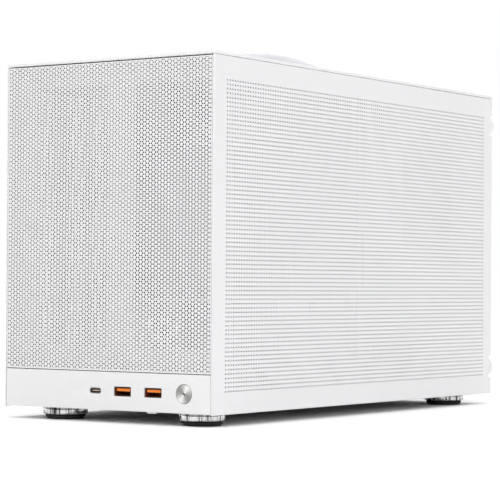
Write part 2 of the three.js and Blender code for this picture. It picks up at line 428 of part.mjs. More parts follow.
// ---- power supply, its fan, rocker and the mains inlet ----
const PSU = { x0: 19.5, x1: 83, y0: -171, y1: -46, z0: 83.8, z1: 183.8 };
{
  const { x0, x1, y0, y1, z0, z1 } = PSU;
  const yc = (y0 + y1) / 2, zc = (z0 + z1) / 2;
  let p = box(x0, x1, y0, y1, z0, z1);
  // A steel can, open at the fan, with its works standing on the wall opposite.
  p = cut(p, box(x0 + 1, x1 - 1, y0 + 1, y1 - 1, z0 + 1, z1 - 1));
  p = join(p, box(x0 + 0.5, x0 + 34, y1 - 46, y1 - 10, z0 + 0.5, z0 + 16), box(x0 + 0.5, x0 + 22, y0 + 22, y0 + 48, z0 + 0.5, z0 + 11), box(x0 + 0.5, x0 + 20, y0 + 8, y1 - 8, z1 - 8, z1 - 0.5));
  for (const [a, b, c, d, h] of [[12, 26, 30, 44, 26], [34, 62, 34, 54, 30], [74, 84, 24, 66, 34], [96, 116, 30, 70, 24]]) p = p.add(box(x0 + 0.5, x0 + h, y0 + a, y0 + b, z0 + c, z0 + d));
  const disc = cylX(44, x1 - 3, x1 + 1, yc, zc, 28);
  p = p.subtract(disc);
  const guard = [];
  for (const r of [22, 34]) guard.push(cylX(r + 0.9, x1 - 1, x1, yc, zc, 24).subtract(cylX(r - 0.9, x1 - 2, x1 + 1, yc, zc, 24)));
  guard.push(box(x1 - 1, x1, y0 + 5, y1 - 5, zc - 1, zc + 1), box(x1 - 1, x1, yc - 1, yc + 1, z0 + 3, z1 - 3), cylX(8, x1 - 1, x1, yc, zc, 14));
  p = join(p, ...guard);
  // Inlet well and rocker well in the lower face, lead sockets in the upper face.
  p = cut(p, box(x0 + 8, x0 + 31, y1 - 44, y1 - 12, z0 - 1, z0 + 14), box(x0 + 8.6, x0 + 20.4, y0 + 24, y0 + 46, z0 - 1, z0 + 9));
  p = p.add(box(x0 + 16, x0 + 22, y1 - 32, y1 - 24, z0 + 1, z0 + 15));
  const sockets = [];
  for (let i = 0; i < 4; i++) sockets.push(box(x0 + 8, x0 + 17, y0 + 12 + i * 27, y0 + 32 + i * 27, z1 - 6, z1 + 1));
  p = cut(p, ...sockets);
  add("psu_case", p, [0x222326, 0.55, 0.3]);
  const rotor = geo(fanRotor(42, 15, -7, 7, 7));
  add("psu_fan_rotor", rotor, [0x2c2d30, 0.5, 0], { position: [x1 - 11, yc, zc], rotation: [0, 0, -Math.PI / 2] });
  let rk = box(x0 + 9.2, x0 + 19.8, y0 + 25, y0 + 45, z0 + 2.4, z0 + 5.2);
  rk = rk.add(solid(new THREE.BoxGeometry(10.6, 9.6, 2.2).rotateX(0.16).translate(x0 + 14.5, y0 + 30.4, z0 + 2.2)));
  add("psu_rocker", rk, BLACK);
  // Inlet on the rear panel: a shrouded three-pin socket with two ears.
  let inlet = join(roundedXZ(...INLET, 24, 50, 4, YR - 5.1, YR - 3.1, 3), roundedXZ(...INLET, 19.8, 27.2, 1.2, YR - 28, YR - 5, 2));
  inlet = cut(inlet, roundedXZ(...INLET, 16.4, 24, 2.5, YR - 20, YR, 2));
  const pins = [[3.6, 0], [-3.4, 7], [-3.4, -7]].map(([x, z]) => box(INLET[0] + x - 1, INLET[0] + x + 1, YR - 21, YR - 6, INLET[1] + z - 2, INLET[1] + z + 2));
  inlet = join(inlet, ...pins);
  inlet = cut(inlet, cylY(1.7, YR - 8, YR, INLET[0], INLET[1] - 20, 10), cylY(1.7, YR - 8, YR, INLET[0], INLET[1] + 20, 10));
  add("mains_inlet", inlet, BLACK);
}

// ---- graphics card ----
{
  let g = box(-45, 58.5, -50, 178, 67.7, 69.3);
  g = g.add(box(58, 66.6, 48.6, 133.4, 67.7, 69.3));
  g = g.add(box(-42, -33, -20, 0, 69.1, 80));
  add("gpu_board", g, [0x14201a, 0.5, 0.1]);
  let s = roundedXY(5, 62.4, 105, 226, 9, 33, 67.3, 3);
  for (const y of [8, 113]) s = s.subtract(cylZ(45.4, 30, 49, 5, y, 32));
  s = cut(s, roundedXY(5, 62.4, 99, 220, 7, 51, 70, 2));
  for (const y of [8, 113]) {
    // Openings above each fan, with the motor's seat carried on three arms.
    const ring = cylZ(43, 48, 52, 5, y, 28);
    const arms = [0, 1, 2].map((k) => solid(new THREE.BoxGeometry(46, 5, 6).translate(23, 0, 0).rotateZ((k * 2 * Math.PI) / 3 + 0.4).translate(5, y, 50)));
    s = s.subtract(cut(ring, cylZ(15, 46, 54, 5, y, 16), ...arms));
  }
  add("gpu_shroud", s, [0x2b2d31, 0.45, 0.2]);
  let back = roundedXY(5, 62.4, 99, 220, 4, 70.2, 71.4, 2);
  back = cut(back, box(-44, -31, -22, 2, 69, 73), ...[0, 1, 2, 3, 4].map((i) => box(-20, 30, -40 + i * 9, -35 + i * 9, 69, 73)));
  back = cut(back, box(54, 70, 40, 142, 69, 73));
  add("gpu_backplate", back, [0x33353a, 0.4, 0.6]);
  // Fins under the board, joined by two pipes.
  const fins = [];
  for (let i = 0; i < 9; i++) fins.push(box(-42, 52, -42 + i * 25, -41 + i * 25, 53, 66.2));
  fins.push(cylY(3, -43, 164, -20, 60, 6), cylY(3, -43, 164, 28, 60, 6));
  add("gpu_heatsink", join(...fins), [0xc2c4c8, 0.35, 0.9]);
  let k = box(-46, 66, 180.4, 181.6, 31, 70.6);
  k = join(k, box(-52, -45, 180.4, 181.6, 31, 70.6), ...[[-34, 0], [-12, 0], [10, 0], [32, 0]].map(([x]) => box(x, x + 16, 178.6, 184.6, 57, 63)));
  k = cut(k, ...[[-34], [-12], [10], [32]].map(([x]) => box(x + 1, x + 15, 179.6, 186, 58, 62)), ...[0, 1, 2, 3, 4, 5, 6, 7].map((i) => box(-36 + i * 11, -29 + i * 11, 179, 183, 37, 51)));
  add("gpu_bracket", k, STEEL);
  for (const [i, y] of [[1, 8], [2, 113]]) {
    add("gpu_fan_rotor_" + i, fanRotor(44.4, 15.5, -6.2, 6.2, 9, 1.4), [0x2c2d30, 0.5, 0], { position: [5, y, 41.2], rotation: [-Math.PI / 2, 0, 0] });
  }
}

// ---- drive ----
{
  let d = box(-11.6, -4.6, -158, -58, 110, 180);
  d = cut(d, box(-10.6, -5.6, -60, -56, 118, 156));
  d = d.add(box(-8.4, -7.6, -61, -58, 120, 154));
  add("drive", d, [0x3a3c40, 0.4, 0.5]);
}

// ---- wiring held inside ----
{
  // Mains lead: plug under the supply, down to the base, back beside the tray and up to the inlet.
  const pc = [PSU.x0 + 19.5, PSU.y1 - 28, PSU.z0];
  const plug = cut(box(pc[0] - 10.8, pc[0] + 10.8, pc[1] - 15, pc[1] + 15, PSU.z0 - 28, PSU.z0 + 0.4), box(pc[0] - 4, pc[0] + 4, pc[1] - 5, pc[1] + 5, PSU.z0 - 20, PSU.z0 + 2));
  const path = [[pc[0], pc[1], 58], [pc[0], pc[1], 44], [pc[0] + 5, pc[1] + 6, 26], [47, pc[1] + 30, 18.5], [48, -10, 18.2], [48, 60, 18.2], [48, 128, 18.2], [44, 148, 18.6], [26, 154, 19.2], [-20, 154, 20], [-42, 154, 22], [-55, 153, 30], [-58, 152, 46], [-58, 152, 66], [-58, 154, 84], [-58, 157, 92]];
  const lead = cord(path, 3.4, 8, 34);
  const boot = box(-66.5, -49.5, 148, 160.8, 84.5, 111.5);
  add("mains_lead", join(plug, lead, boot), BLACK);
  // Main power loom: from the supply's upper face over to the board's header.
  const loom = cord([[32, -149, 185.2], [32, -149, 194], [33, -138, 205], [36, -110, 211], [42, -60, 212], [46, -20, 208], [48, 2, 198], [50, 14, 187], [53, 17.5, 178]], 5.2, 8, 20);
  const head = box(49, 58.6, 14.3, 21.2, 151, 201);
  add("main_power_loom", join(loom, head, box(28, 36, -158.4, -139.6, 178.6, 188)), BLACK);
  // Front port lead: from the port board along the base to the board's lower header.
  const front = cord([[-26, YF + 22.5, 21], [-24, YF + 32, 19], [0, YF + 50, 16.5], [30, -125, 15.6], [56, -100, 15.4], [61, -60, 15.4], [61, -20, 15.4], [63, -2, 21], [65, 8, 42], [64.5, 11, 70], [62, 13, 84], [58, 15.5, 93], [57.3, 17, 99]], 2.2, 6, 38);
  add("front_port_lead", join(front, box(-32, -20, YF + 20.4, YF + 24, 18.6, 23.4), box(54, 60.6, 14.3, 19.7, 97, 123)), BLACK);
}

export default part;
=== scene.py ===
import json
import math

import bmesh
import bpy
import numpy as np
from mathutils import Matrix, Vector

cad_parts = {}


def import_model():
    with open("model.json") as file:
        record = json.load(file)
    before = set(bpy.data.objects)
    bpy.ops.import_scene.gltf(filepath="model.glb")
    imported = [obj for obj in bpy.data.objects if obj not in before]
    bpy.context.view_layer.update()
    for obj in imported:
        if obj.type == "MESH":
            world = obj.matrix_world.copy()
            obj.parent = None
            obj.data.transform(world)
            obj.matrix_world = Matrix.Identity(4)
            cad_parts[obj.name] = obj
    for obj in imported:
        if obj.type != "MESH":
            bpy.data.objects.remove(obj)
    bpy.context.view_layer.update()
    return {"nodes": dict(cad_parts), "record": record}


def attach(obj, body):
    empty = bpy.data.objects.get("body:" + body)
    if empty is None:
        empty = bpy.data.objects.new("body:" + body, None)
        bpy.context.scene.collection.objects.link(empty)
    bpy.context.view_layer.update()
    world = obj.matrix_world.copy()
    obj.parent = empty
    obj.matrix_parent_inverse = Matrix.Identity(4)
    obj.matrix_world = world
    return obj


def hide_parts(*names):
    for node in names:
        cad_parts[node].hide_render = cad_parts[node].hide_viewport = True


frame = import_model()
nodes = frame["nodes"]


MM = 0.001

# ------------------------------------------------------------------ dimensions of the case, in mm
YF, YR = -192.75, 189.25
Z0, ZT = 8.0, 244.0
XO, XI, EDGE_X = 88.0, 86.0, 86.8
YM = -1.75
PORT_Z = 21.2
USB_C_X, USB_A_X, BUTTON_X = -8.3, (14.6, 39.9), 65.1
STRAP_Y, STRAP_HALF, STRAP_PEAK, STRAP_T, STRAP_W = -1.75, 136.0, 19.85, 3.0, 25.0
STRAP_SWELL = 2.5
SCREW_AT = STRAP_HALF + 8

# ------------------------------------------------------------------ node material kit


class Mat:
    """A small wrapper that builds a Principled material from nodes."""

    def __init__(self, name):
        self.m = bpy.data.materials.new(name)
        self.m.use_nodes = True
        self.t = self.m.node_tree
        self.t.nodes.clear()
        self.out = self.t.nodes.new("ShaderNodeOutputMaterial")
        self.b = self.t.nodes.new("ShaderNodeBsdfPrincipled")
        self.t.links.new(self.b.outputs["BSDF"], self.out.inputs["Surface"])
        self.co = self.t.nodes.new("ShaderNodeTexCoord")

    def n(self, kind, **k):
        node = self.t.nodes.new("ShaderNode" + kind)
        for a, v in k.items():
            if a == "ins":
                for i, val in v.items():
                    node.inputs[i].default_value = val
            else:
                setattr(node, a, v)
        return node

    def link(self, a, b):
        self.t.links.new(a, b)

    def set(self, **k):
        for name, v in k.items():
            key = name.replace("_", " ")
            for s in self.b.inputs:
                if s.name.lower() == key.lower():
                    s.default_value = v
                    break
            else:
                raise KeyError(name)
        return self

    def noise(self, scale, detail=3.0, rough=0.5, stretch=None):
        src = self.co.outputs["Object"]
        if stretch:
            mp = self.n("Mapping")
            mp.inputs["Scale"].default_value = stretch
            self.link(src, mp.inputs["Vector"])
            src = mp.outputs["Vector"]
        n = self.n("TexNoise", ins={"Scale": scale, "Detail": detail, "Roughness": rough})
        self.link(src, n.inputs["Vector"])
        return n.outputs["Fac"]

    def ramp(self, fac, stops):
        r = self.n("ValToRGB")
        e = r.color_ramp.elements
        while len(e) < len(stops):
            e.new(0.5)
        for el, (p, c) in zip(e, stops):
            el.position = p
            el.color = (*c, 1.0) if len(c) == 3 else c
        self.link(fac, r.inputs["Fac"])
        return r.outputs["Color"]

    def span(self, fac, lo, hi, f0=0.3, f1=0.7):
        r = self.n("MapRange", ins={"From Min": f0, "From Max": f1, "To Min": lo, "To Max": hi})
        self.link(fac, r.inputs["Value"])
        return r.outputs["Result"]

    def bump(self, height, dist, strength=1.0, normal=None):
        b = self.n("Bump", ins={"Strength": strength, "Distance": dist})
        self.link(height, b.inputs["Height"])
        if normal is not None:
            self.link(normal, b.inputs["Normal"])
        return b.outputs["Normal"]

    def base(self, c):
        self.link(c, self.b.inputs["Base Color"])

    def rough(self, r):
        self.link(r, self.b.inputs["Roughness"])

    def normal(self, n):
        self.link(n, self.b.inputs["Normal"])


def tint(c, k):
    return tuple(min(1.0, v * k) for v in c)


def powder(name, color, rough=0.42, grain=0.00002, scale=2600.0, vary=0.012):
    """Powder-coated sheet: a faint orange-peel texture, slight tone drift and uneven sheen."""
    m = Mat(name)
    big = m.noise(14.0, 3.0, 0.55)
    m.base(m.ramp(big, [(0.3, tint(color, 1 - vary)), (0.7, tint(color, 1 + vary))]))
    fine = m.noise(scale, 2.0, 0.5)
    m.rough(m.span(m.noise(60.0, 4.0, 0.6), rough - 0.05, rough + 0.06))
    m.normal(m.bump(fine, grain, 0.6))
    m.set(Specular_IOR_Level=0.42)
    return m.m


def plastic(name, color, rough=0.45, grain=0.00003, scale=1800.0, vary=0.08, spec=0.45):
    m = Mat(name)
    m.base(m.ramp(m.noise(40.0, 4.0, 0.6), [(0.3, tint(color, 1 - vary)), (0.7, tint(color, 1 + vary))]))
    m.rough(m.span(m.noise(220.0, 3.0, 0.55), rough - 0.07, rough + 0.07))
    m.normal(m.bump(m.noise(scale, 3.0, 0.6), grain, 0.7))
    m.set(Specular_IOR_Level=spec)
    return m.m


def metal(name, color, rough=0.3, stretch=(1, 1, 1), scale=900.0, grain=0.00002, vary=0.06, aniso=0.0):
    """Bare or plated metal with a rolled or brushed grain along the stretched axis."""
    m = Mat(name)
    m.base(m.ramp(m.noise(30.0, 4.0, 0.6), [(0.3, tint(color, 1 - vary)), (0.7, tint(color, 1 + vary))]))
    g = m.noise(scale, 4.0, 0.65, stretch)
    m.rough(m.span(g, rough - 0.08, rough + 0.1))
    m.normal(m.bump(g, grain, 0.5))
    m.set(Metallic=1.0, Anisotropic=aniso)
    return m.m


def rubber(name, color, rough=0.7):
    m = Mat(name)
    m.base(m.ramp(m.noise(90.0, 5.0, 0.65), [(0.3, tint(color, 0.86)), (0.7, tint(color, 1.16))]))
    m.rough(m.span(m.noise(400.0, 4.0, 0.6), rough - 0.08, rough + 0.1))
    m.normal(m.bump(m.noise(1500.0, 4.0, 0.65), 0.00006, 0.8))
    m.set(Specular_IOR_Level=0.35)
    return m.m


WHITE = (0.805, 0.805, 0.815)
M = {}
M["white"] = powder("coat_white", WHITE, 0.42)
M["band"] = powder("coat_strip", (0.800, 0.795, 0.797), 0.40)
M["mesh"] = powder("coat_mesh", (0.80, 0.795, 0.805), 0.46)
M["chassis"] = powder("coat_chassis", (0.78, 0.78, 0.79), 0.48, scale=1800.0, vary=0.02)
M["black_coat"] = powder("coat_black", (0.022, 0.022, 0.024), 0.5, 0.00004, 1500.0, 0.15)
M["black"] = plastic("moulded_black", (0.018, 0.018, 0.020), 0.5)
M["blade"] = plastic("moulded_blade", (0.030, 0.031, 0.034), 0.38, 0.00002, 2400.0)
M["shroud"] = plastic("moulded_shroud", (0.035, 0.037, 0.042), 0.42, 0.00003, 1400.0)
M["steel"] = metal("rolled_steel", (0.62, 0.63, 0.645), 0.30, (1, 1, 12), 420.0)
M["dark_steel"] = metal("dark_steel", (0.30, 0.275, 0.25), 0.34, (1, 10, 1), 500.0)
M["chrome"] = metal("polished_chrome", (0.80, 0.80, 0.81), 0.12, (1, 1, 1), 160.0, 0.000004, 0.02)
M["fin"] = metal("fin_aluminium", (0.74, 0.75, 0.77), 0.30, (1, 1, 8), 500.0)
M["spreader"] = metal("anodised_dark", (0.075, 0.08, 0.095), 0.42, (1, 1, 6), 700.0, 0.00003, 0.1)
M["copper"] = metal("copper_pipe", (0.86, 0.50, 0.34), 0.26, (1, 1, 1), 260.0)
M["gold"] = metal("gold_contact", (0.95, 0.70, 0.30), 0.25, (1, 8, 1), 900.0)
M["pad"] = rubber("pad_rubber", (0.020, 0.020, 0.022), 0.78)
M["lead"] = rubber("lead_sheath", (0.016, 0.016, 0.018), 0.55)
M["orange"] = plastic("tongue_orange", (0.95, 0.235, 0.025), 0.42, 0.00002, 2500.0, 0.05)
M["rust"] = plastic("shell_inside", (0.145, 0.030, 0.012), 0.5, 0.00002, 2500.0, 0.2)
M["cream"] = plastic("tongue_cream", (0.60, 0.50, 0.40), 0.45, 0.00002, 2500.0, 0.08)
M["shell_dark"] = metal("shell_brown", (0.075, 0.045, 0.032), 0.40, (1, 10, 1), 700.0, 0.00002, 0.1)


def strap_material():
    """Soft-touch moulded strap: fine leather-like pebble."""
    m = Mat("strap_softtouch")
    m.base(m.ramp(m.noise(24.0, 4.0, 0.6), [(0.3, (0.725, 0.718, 0.752)), (0.7, (0.745, 0.738, 0.772))]))
    v = m.n("TexVoronoi", feature="SMOOTH_F1", ins={"Scale": 1100.0, "Smoothness": 0.6})
    m.link(m.co.outputs["Object"], v.inputs["Vector"])
    m.rough(m.span(m.noise(300.0, 3.0, 0.5), 0.52, 0.64))
    m.normal(m.bump(v.outputs["Distance"], 0.00006, 0.7))
    m.set(Specular_IOR_Level=0.3, Subsurface_Weight=0.9, Subsurface_Scale=0.008)
    m.b.inputs["Subsurface Radius"].default_value = (1.0, 1.0, 1.0)
    return m.m


def spun_painted_highlight_material():
    """Spun metal face: fine turned rings, with highlight wedges painted into the base colour by angle round the button.
    """
    m = Mat("spun_face_painted_highlights")
    sep = m.n("SeparateXYZ")
    m.link(m.co.outputs["Object"], sep.inputs["Vector"])

    def off(sock, v):
        a = m.n("Math", operation="SUBTRACT")
        m.link(sock, a.inputs[0])
        a.inputs[1].default_value = v
        return a.outputs[0]

    def pw(s):
        a = m.n("Math", operation="MULTIPLY")
        m.link(s, a.inputs[0])
        m.link(s, a.inputs[1])
        return a.outputs[0]

    x, z = off(sep.outputs["X"], BUTTON_X * MM), off(sep.outputs["Z"], PORT_Z * MM)
    add = m.n("Math", operation="ADD")
    m.link(pw(x), add.inputs[0])
    m.link(pw(z), add.inputs[1])
    rad = m.n("Math", operation="SQRT")
    m.link(add.outputs[0], rad.inputs[0])
    ang = m.n("Math", operation="ARCTAN2")
    m.link(z, ang.inputs[0])
    m.link(x, ang.inputs[1])
    comb = m.n("CombineXYZ")
    sc = m.n("Math", operation="MULTIPLY")
    m.link(rad.outputs[0], sc.inputs[0])
    sc.inputs[1].default_value = 9000.0
    m.link(sc.outputs[0], comb.inputs["X"])
    rings = m.n("TexNoise", ins={"Scale": 1.0, "Detail": 2.0, "Roughness": 0.6})
    m.link(comb.outputs[0], rings.inputs["Vector"])
    # Painted highlight: the base colour is lightened and darkened in wedges by angle, standing in for the highlight
    # turned metal shows under a broad light.
    two = m.n("Math", operation="MULTIPLY")
    m.link(ang.outputs[0], two.inputs[0])
    two.inputs[1].default_value = 2.0
    ph = m.n("Math", operation="ADD")
    m.link(two.outputs[0], ph.inputs[0])
    ph.inputs[1].default_value = -1.9
    co = m.n("Math", operation="COSINE")
    m.link(ph.outputs[0], co.inputs[0])
    fac = m.n("MapRange", ins={"From Min": -1.0, "From Max": 1.0, "To Min": 0.0, "To Max": 1.0})
    m.link(co.outputs[0], fac.inputs["Value"])
    m.base(m.ramp(fac.outputs["Result"], [(0.0, (0.36, 0.36, 0.345)), (0.35, (0.50, 0.50, 0.48)), (0.72, (0.68, 0.68, 0.66)), (1.0, (0.98, 0.98, 0.97))]))
    m.rough(m.span(rings.outputs["Fac"], 0.24, 0.36))
    m.normal(m.bump(rings.outputs["Fac"], 0.000012, 0.5))
    tan = m.n("Tangent", direction_type="RADIAL", axis="Y")
    m.link(tan.outputs["Tangent"], m.b.inputs["Tangent"])
    m.set(Metallic=1.0, Anisotropic=0.75)
    return m.m


def chrome_painted_reflection_material():
    """Bright plating on a turned ring with painted reflections: sharp light and dark streaks, painted into the base
    colour, run round it, finer near the edges.
    """
    m = Mat("ring_chrome_painted_reflections")
    g = m.noise(1.0, 3.0, 0.75, (330.0, 330.0, 12.0))
    # Painted reflection: the base colour swings from near black to bright in streaks, standing in for the surroundings
    # mirrored in the plating.
    m.base(m.ramp(g, [(0.36, (0.05, 0.05, 0.05)), (0.43, (0.20, 0.20, 0.20)), (0.47, (0.62, 0.62, 0.62)), (0.56, (0.90, 0.90, 0.89)), (0.66, (0.42, 0.42, 0.42))]))
    m.rough(m.span(m.noise(500.0, 3.0, 0.6, (1, 1, 6)), 0.07, 0.16))
    m.normal(m.bump(m.noise(900.0, 2.0, 0.5, (1, 1, 0.2)), 0.000006, 0.5))
    m.set(Metallic=1.0)
    return m.m


M["strap"] = strap_material()
# The foot rings' chrome carries painted reflections and the button face carries painted highlights.
M["chrome"] = chrome_painted_reflection_material()
M["spun"] = spun_painted_highlight_material()

# ------------------------------------------------------------------ mesh helpers


def finish_mesh(name, me, mats, angle=35.0, smooth=True):
    for m in mats:
        me.materials.append(M[m] if isinstance(m, str) else m)
    if smooth:
        me.shade_smooth()
        me.set_sharp_from_angle(angle=math.radians(angle))
    ob = bpy.data.objects.new(name, me)
    bpy.context.scene.collection.objects.link(ob)
    return ob


def from_arrays(name, verts, faces, mats, angle=35.0, mat_index=None, smooth=True):
    me = bpy.data.meshes.new(name)
    v = (np.asarray(verts, float) * MM).tolist()
    me.from_pydata(v, [], faces if isinstance(faces, list) else faces.tolist())
    if mat_index is not None:
        me.polygons.foreach_set("material_index", np.asarray(mat_index, np.int32))
    me.update()
    return finish_mesh(name, me, mats, angle, smooth)


def bm_to(name, bm, mats, angle=35.0, smooth=True):
    bmesh.ops.scale(bm, vec=(MM, MM, MM), verts=bm.verts)
    me = bpy.data.meshes.new(name)
    bm.to_mesh(me)
    bm.free()
    return finish_mesh(name, me, mats, angle, smooth)


def rbox(bm, x0, x1, y0, y1, z0, z1, r=0.3, seg=2, mi=0, rot=None):
    """Adds a box with rounded edges to bm, in mm."""
    g = bmesh.ops.create_cube(bm, size=1.0)
    vs = g["verts"]
    for v in vs:
        v.co = Vector(((x0 + x1) / 2 + v.co.x * (x1 - x0), (y0 + y1) / 2 + v.co.y * (y1 - y0), (z0 + z1) / 2 + v.co.z * (z1 - z0)))
    if r > 0:
        r = min(r, 0.45 * min(x1 - x0, y1 - y0, z1 - z0))
        es = list({e for v in vs for e in v.link_edges})
        res = bmesh.ops.bevel(bm, geom=es, offset=r, segments=seg, profile=0.5, affect="EDGES", clamp_overlap=True)
        fs = set(res["faces"])
        vs = list({v for f in fs for v in f.verts})
        vs = list(set(vs) | {v for v in vs})
        allf = set()
        for v in vs:
            for f in v.link_faces:
                allf.add(f)
        for f in allf:
            f.material_index = mi
        vs = list({v for f in allf for v in f.verts})
    else:
        for v in vs:
            for f in v.link_faces:
                f.material_index = mi
    if rot is not None:
        bmesh.ops.transform(bm, matrix=rot, verts=vs)
    return vs


AX = {
    "X": Matrix(((0, 0, 1), (1, 0, 0), (0, 1, 0))).to_4x4(),
    "Y": Matrix(((0, 1, 0), (0, 0, 1), (1, 0, 0))).to_4x4(),
    "Z": Matrix.Identity(4),
}
# Each maps the lathe's own +Z to the named axis, keeping a right-handed frame.


def lathe(bm, profile, axis="Z", at=(0, 0, 0), seg=64, mi=0):
    """A turned solid. profile is (radius, height) pairs from the axis and back to it; one material index, or one for each stretch."""
    mtx = Matrix.Translation(Vector(at)) @ AX[axis]
    rings = []
    for r, h in profile:
        if r <= 1e-6:
            rings.append([bm.verts.new(mtx @ Vector((0, 0, h)))])
        else:
            rings.append([bm.verts.new(mtx @ Vector((r * math.cos(2 * math.pi * i / seg), r * math.sin(2 * math.pi * i / seg), h))) for i in range(seg)])
    up = []
    for k, (a, b) in enumerate(zip(rings, rings[1:])):
        idx = mi[k] if isinstance(mi, (list, tuple)) else mi
        for i in range(seg):
            j = (i + 1) % seg
            if len(a) == 1 and len(b) == 1:
                continue
            if len(a) == 1:
                f = bm.faces.new((a[0], b[j], b[i]))
            elif len(b) == 1:
                f = bm.faces.new((a[i], a[j], b[0]))
            else:
                f = bm.faces.new((a[i], a[j], b[j], b[i]))
            f.material_index = idx
            up.append(f)
    return [v for r in rings for v in r]


def arc(cx, cy, r, a0, a1, n):
    return [(cx + r * math.cos(math.radians(a0 + (a1 - a0) * i / n)), cy + r * math.sin(math.radians(a0 + (a1 - a0) * i / n))) for i in range(n + 1)]


def rrect(cx, cy, w, h, r, n=5):
    r = min(r, w / 2 - 1e-4, h / 2 - 1e-4)
    x0, x1, y0, y1 = cx - w / 2, cx + w / 2, cy - h / 2, cy + h / 2
    return arc(x1 - r, y0 + r, r, -90, 0, n) + arc(x1 - r, y1 - r, r, 0, 90, n) + arc(x0 + r, y1 - r, r, 90, 180, n) + arc(x0 + r, y0 + r, r, 180, 270, n)


def circle(cx, cy, r, n=32, a0=0.0):
    return [(cx + r * math.cos(2 * math.pi * i / n + a0), cy + r * math.sin(2 * math.pi * i / n + a0)) for i in range(n)]


def plate(name, loops, t0, t1, plane, mats, bevel=0.2, angle=35.0, seg=1):
    """A flat sheet from t0 to t1 across its plane, with an outline and holes, and rounded edges.
    plane is YZ, XZ or XY: the loops' two coordinates; the sheet's thickness runs along the third axis."""
    cu = bpy.data.curves.new(name, "CURVE")
    cu.dimensions = "2D"
    cu.fill_mode = "BOTH"
    for lp in loops:
        sp = cu.splines.new("POLY")
        sp.points.add(len(lp) - 1)
        for p, (a, b) in zip(sp.points, lp):
            p.co = (a, b, 0, 1)
        sp.use_cyclic_u = True
    half = (t1 - t0) / 2
    cu.extrude = half - bevel
    cu.bevel_depth = bevel
    cu.bevel_resolution = seg
    cu.offset = -bevel
    ob = bpy.data.objects.new(name, cu)
    bpy.context.scene.collection.objects.link(ob)
    dg = bpy.context.evaluated_depsgraph_get()
    me = bpy.data.meshes.new_from_object(ob.evaluated_get(dg), depsgraph=dg)
    bpy.data.objects.remove(ob)
    bpy.data.curves.remove(cu)
    mid = (t0 + t1) / 2
    rot = {
        "XY": Matrix(((1, 0, 0, 0), (0, 1, 0, 0), (0, 0, 1, mid), (0, 0, 0, 1))),
        "YZ": Matrix(((0, 0, 1, mid), (1, 0, 0, 0), (0, 1, 0, 0), (0, 0, 0, 1))),
        "XZ": Matrix(((1, 0, 0, 0), (0, 0, -1, mid), (0, 1, 0, 0), (0, 0, 0, 1))),
    }[plane]
    me.transform(Matrix.Scale(MM, 4) @ rot)
    me.materials.clear()
    bm = bmesh.new()
    bm.from_mesh(me)
    bmesh.ops.remove_doubles(bm, verts=bm.verts, dist=1e-7)
    bmesh.ops.recalc_face_normals(bm, faces=bm.faces)
    bm.to_mesh(me)
    bm.free()
    me.name = name
    return finish_mesh(name, me, mats, angle)


def join(obs, name=None):
    """Joins meshes into the first, keeping each one's materials."""
    base = obs[0]
    bm = bmesh.new()
    slots = []
    for o in obs:
        off = []
        for m in o.data.materials:
            if m not in slots:
                slots.append(m)
            off.append(slots.index(m))
        n0 = len(bm.faces)
        bm.from_mesh(o.data)
        bm.faces.ensure_lookup_table()
        for f in bm.faces[n0:]:
            f.material_index = off[f.material_index] if off else 0
    me = bpy.data.meshes.new(name or base.name)
    bm.to_mesh(me)
    bm.free()
    for m in slots:
        me.materials.append(m)
    for o in obs:
        old = o.data
        bpy.data.objects.remove(o)
        bpy.data.meshes.remove(old)
    me.shade_smooth()
    me.set_sharp_from_angle(angle=math.radians(35))
    ob = bpy.data.objects.new(name or me.name, me)
    bpy.context.scene.collection.objects.link(ob)
    return ob


def stand(piece, node, body):
    """The piece rides on a body and stands for a CAD node."""
    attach(piece, body)
    if node:
        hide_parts(*([node] if isinstance(node, str) else node))
    return piece


# ------------------------------------------------------------------ camera
def camera():
    f, yaw, pitch, roll = 2085.1, math.radians(34.383), math.radians(0.977), math.radians(0.375)
    cy, sy, cp, sp, cr, sr = math.cos(yaw), math.sin(yaw), math.cos(pitch), math.sin(pitch), math.cos(roll), math.sin(roll)
    fwd = Vector((-sy * cp, cy * cp, sp))
    right = Vector((cy, sy, 0.0))
    up = right.cross(fwd)
    r2 = right * cr + up * sr
    u2 = -right * sr + up * cr
    cam = bpy.data.cameras.new("camera")
    cam.sensor_width = 36.0
    cam.sensor_fit = "HORIZONTAL"
    cam.lens = 36.0 * f / 500.0
    cam.clip_start = 0.05
    cam.clip_end = 50.0
    ob = bpy.data.objects.new("camera", cam)
    bpy.context.scene.collection.objects.link(ob)
    m = Matrix((r2, u2, -fwd)).transposed().to_4x4()
    m.translation = Vector((0.865974, -1.286123 + YM * MM, 0.0840954 + Z0 * MM))
    ob.matrix_world = m
    bpy.context.scene.camera = ob


camera()


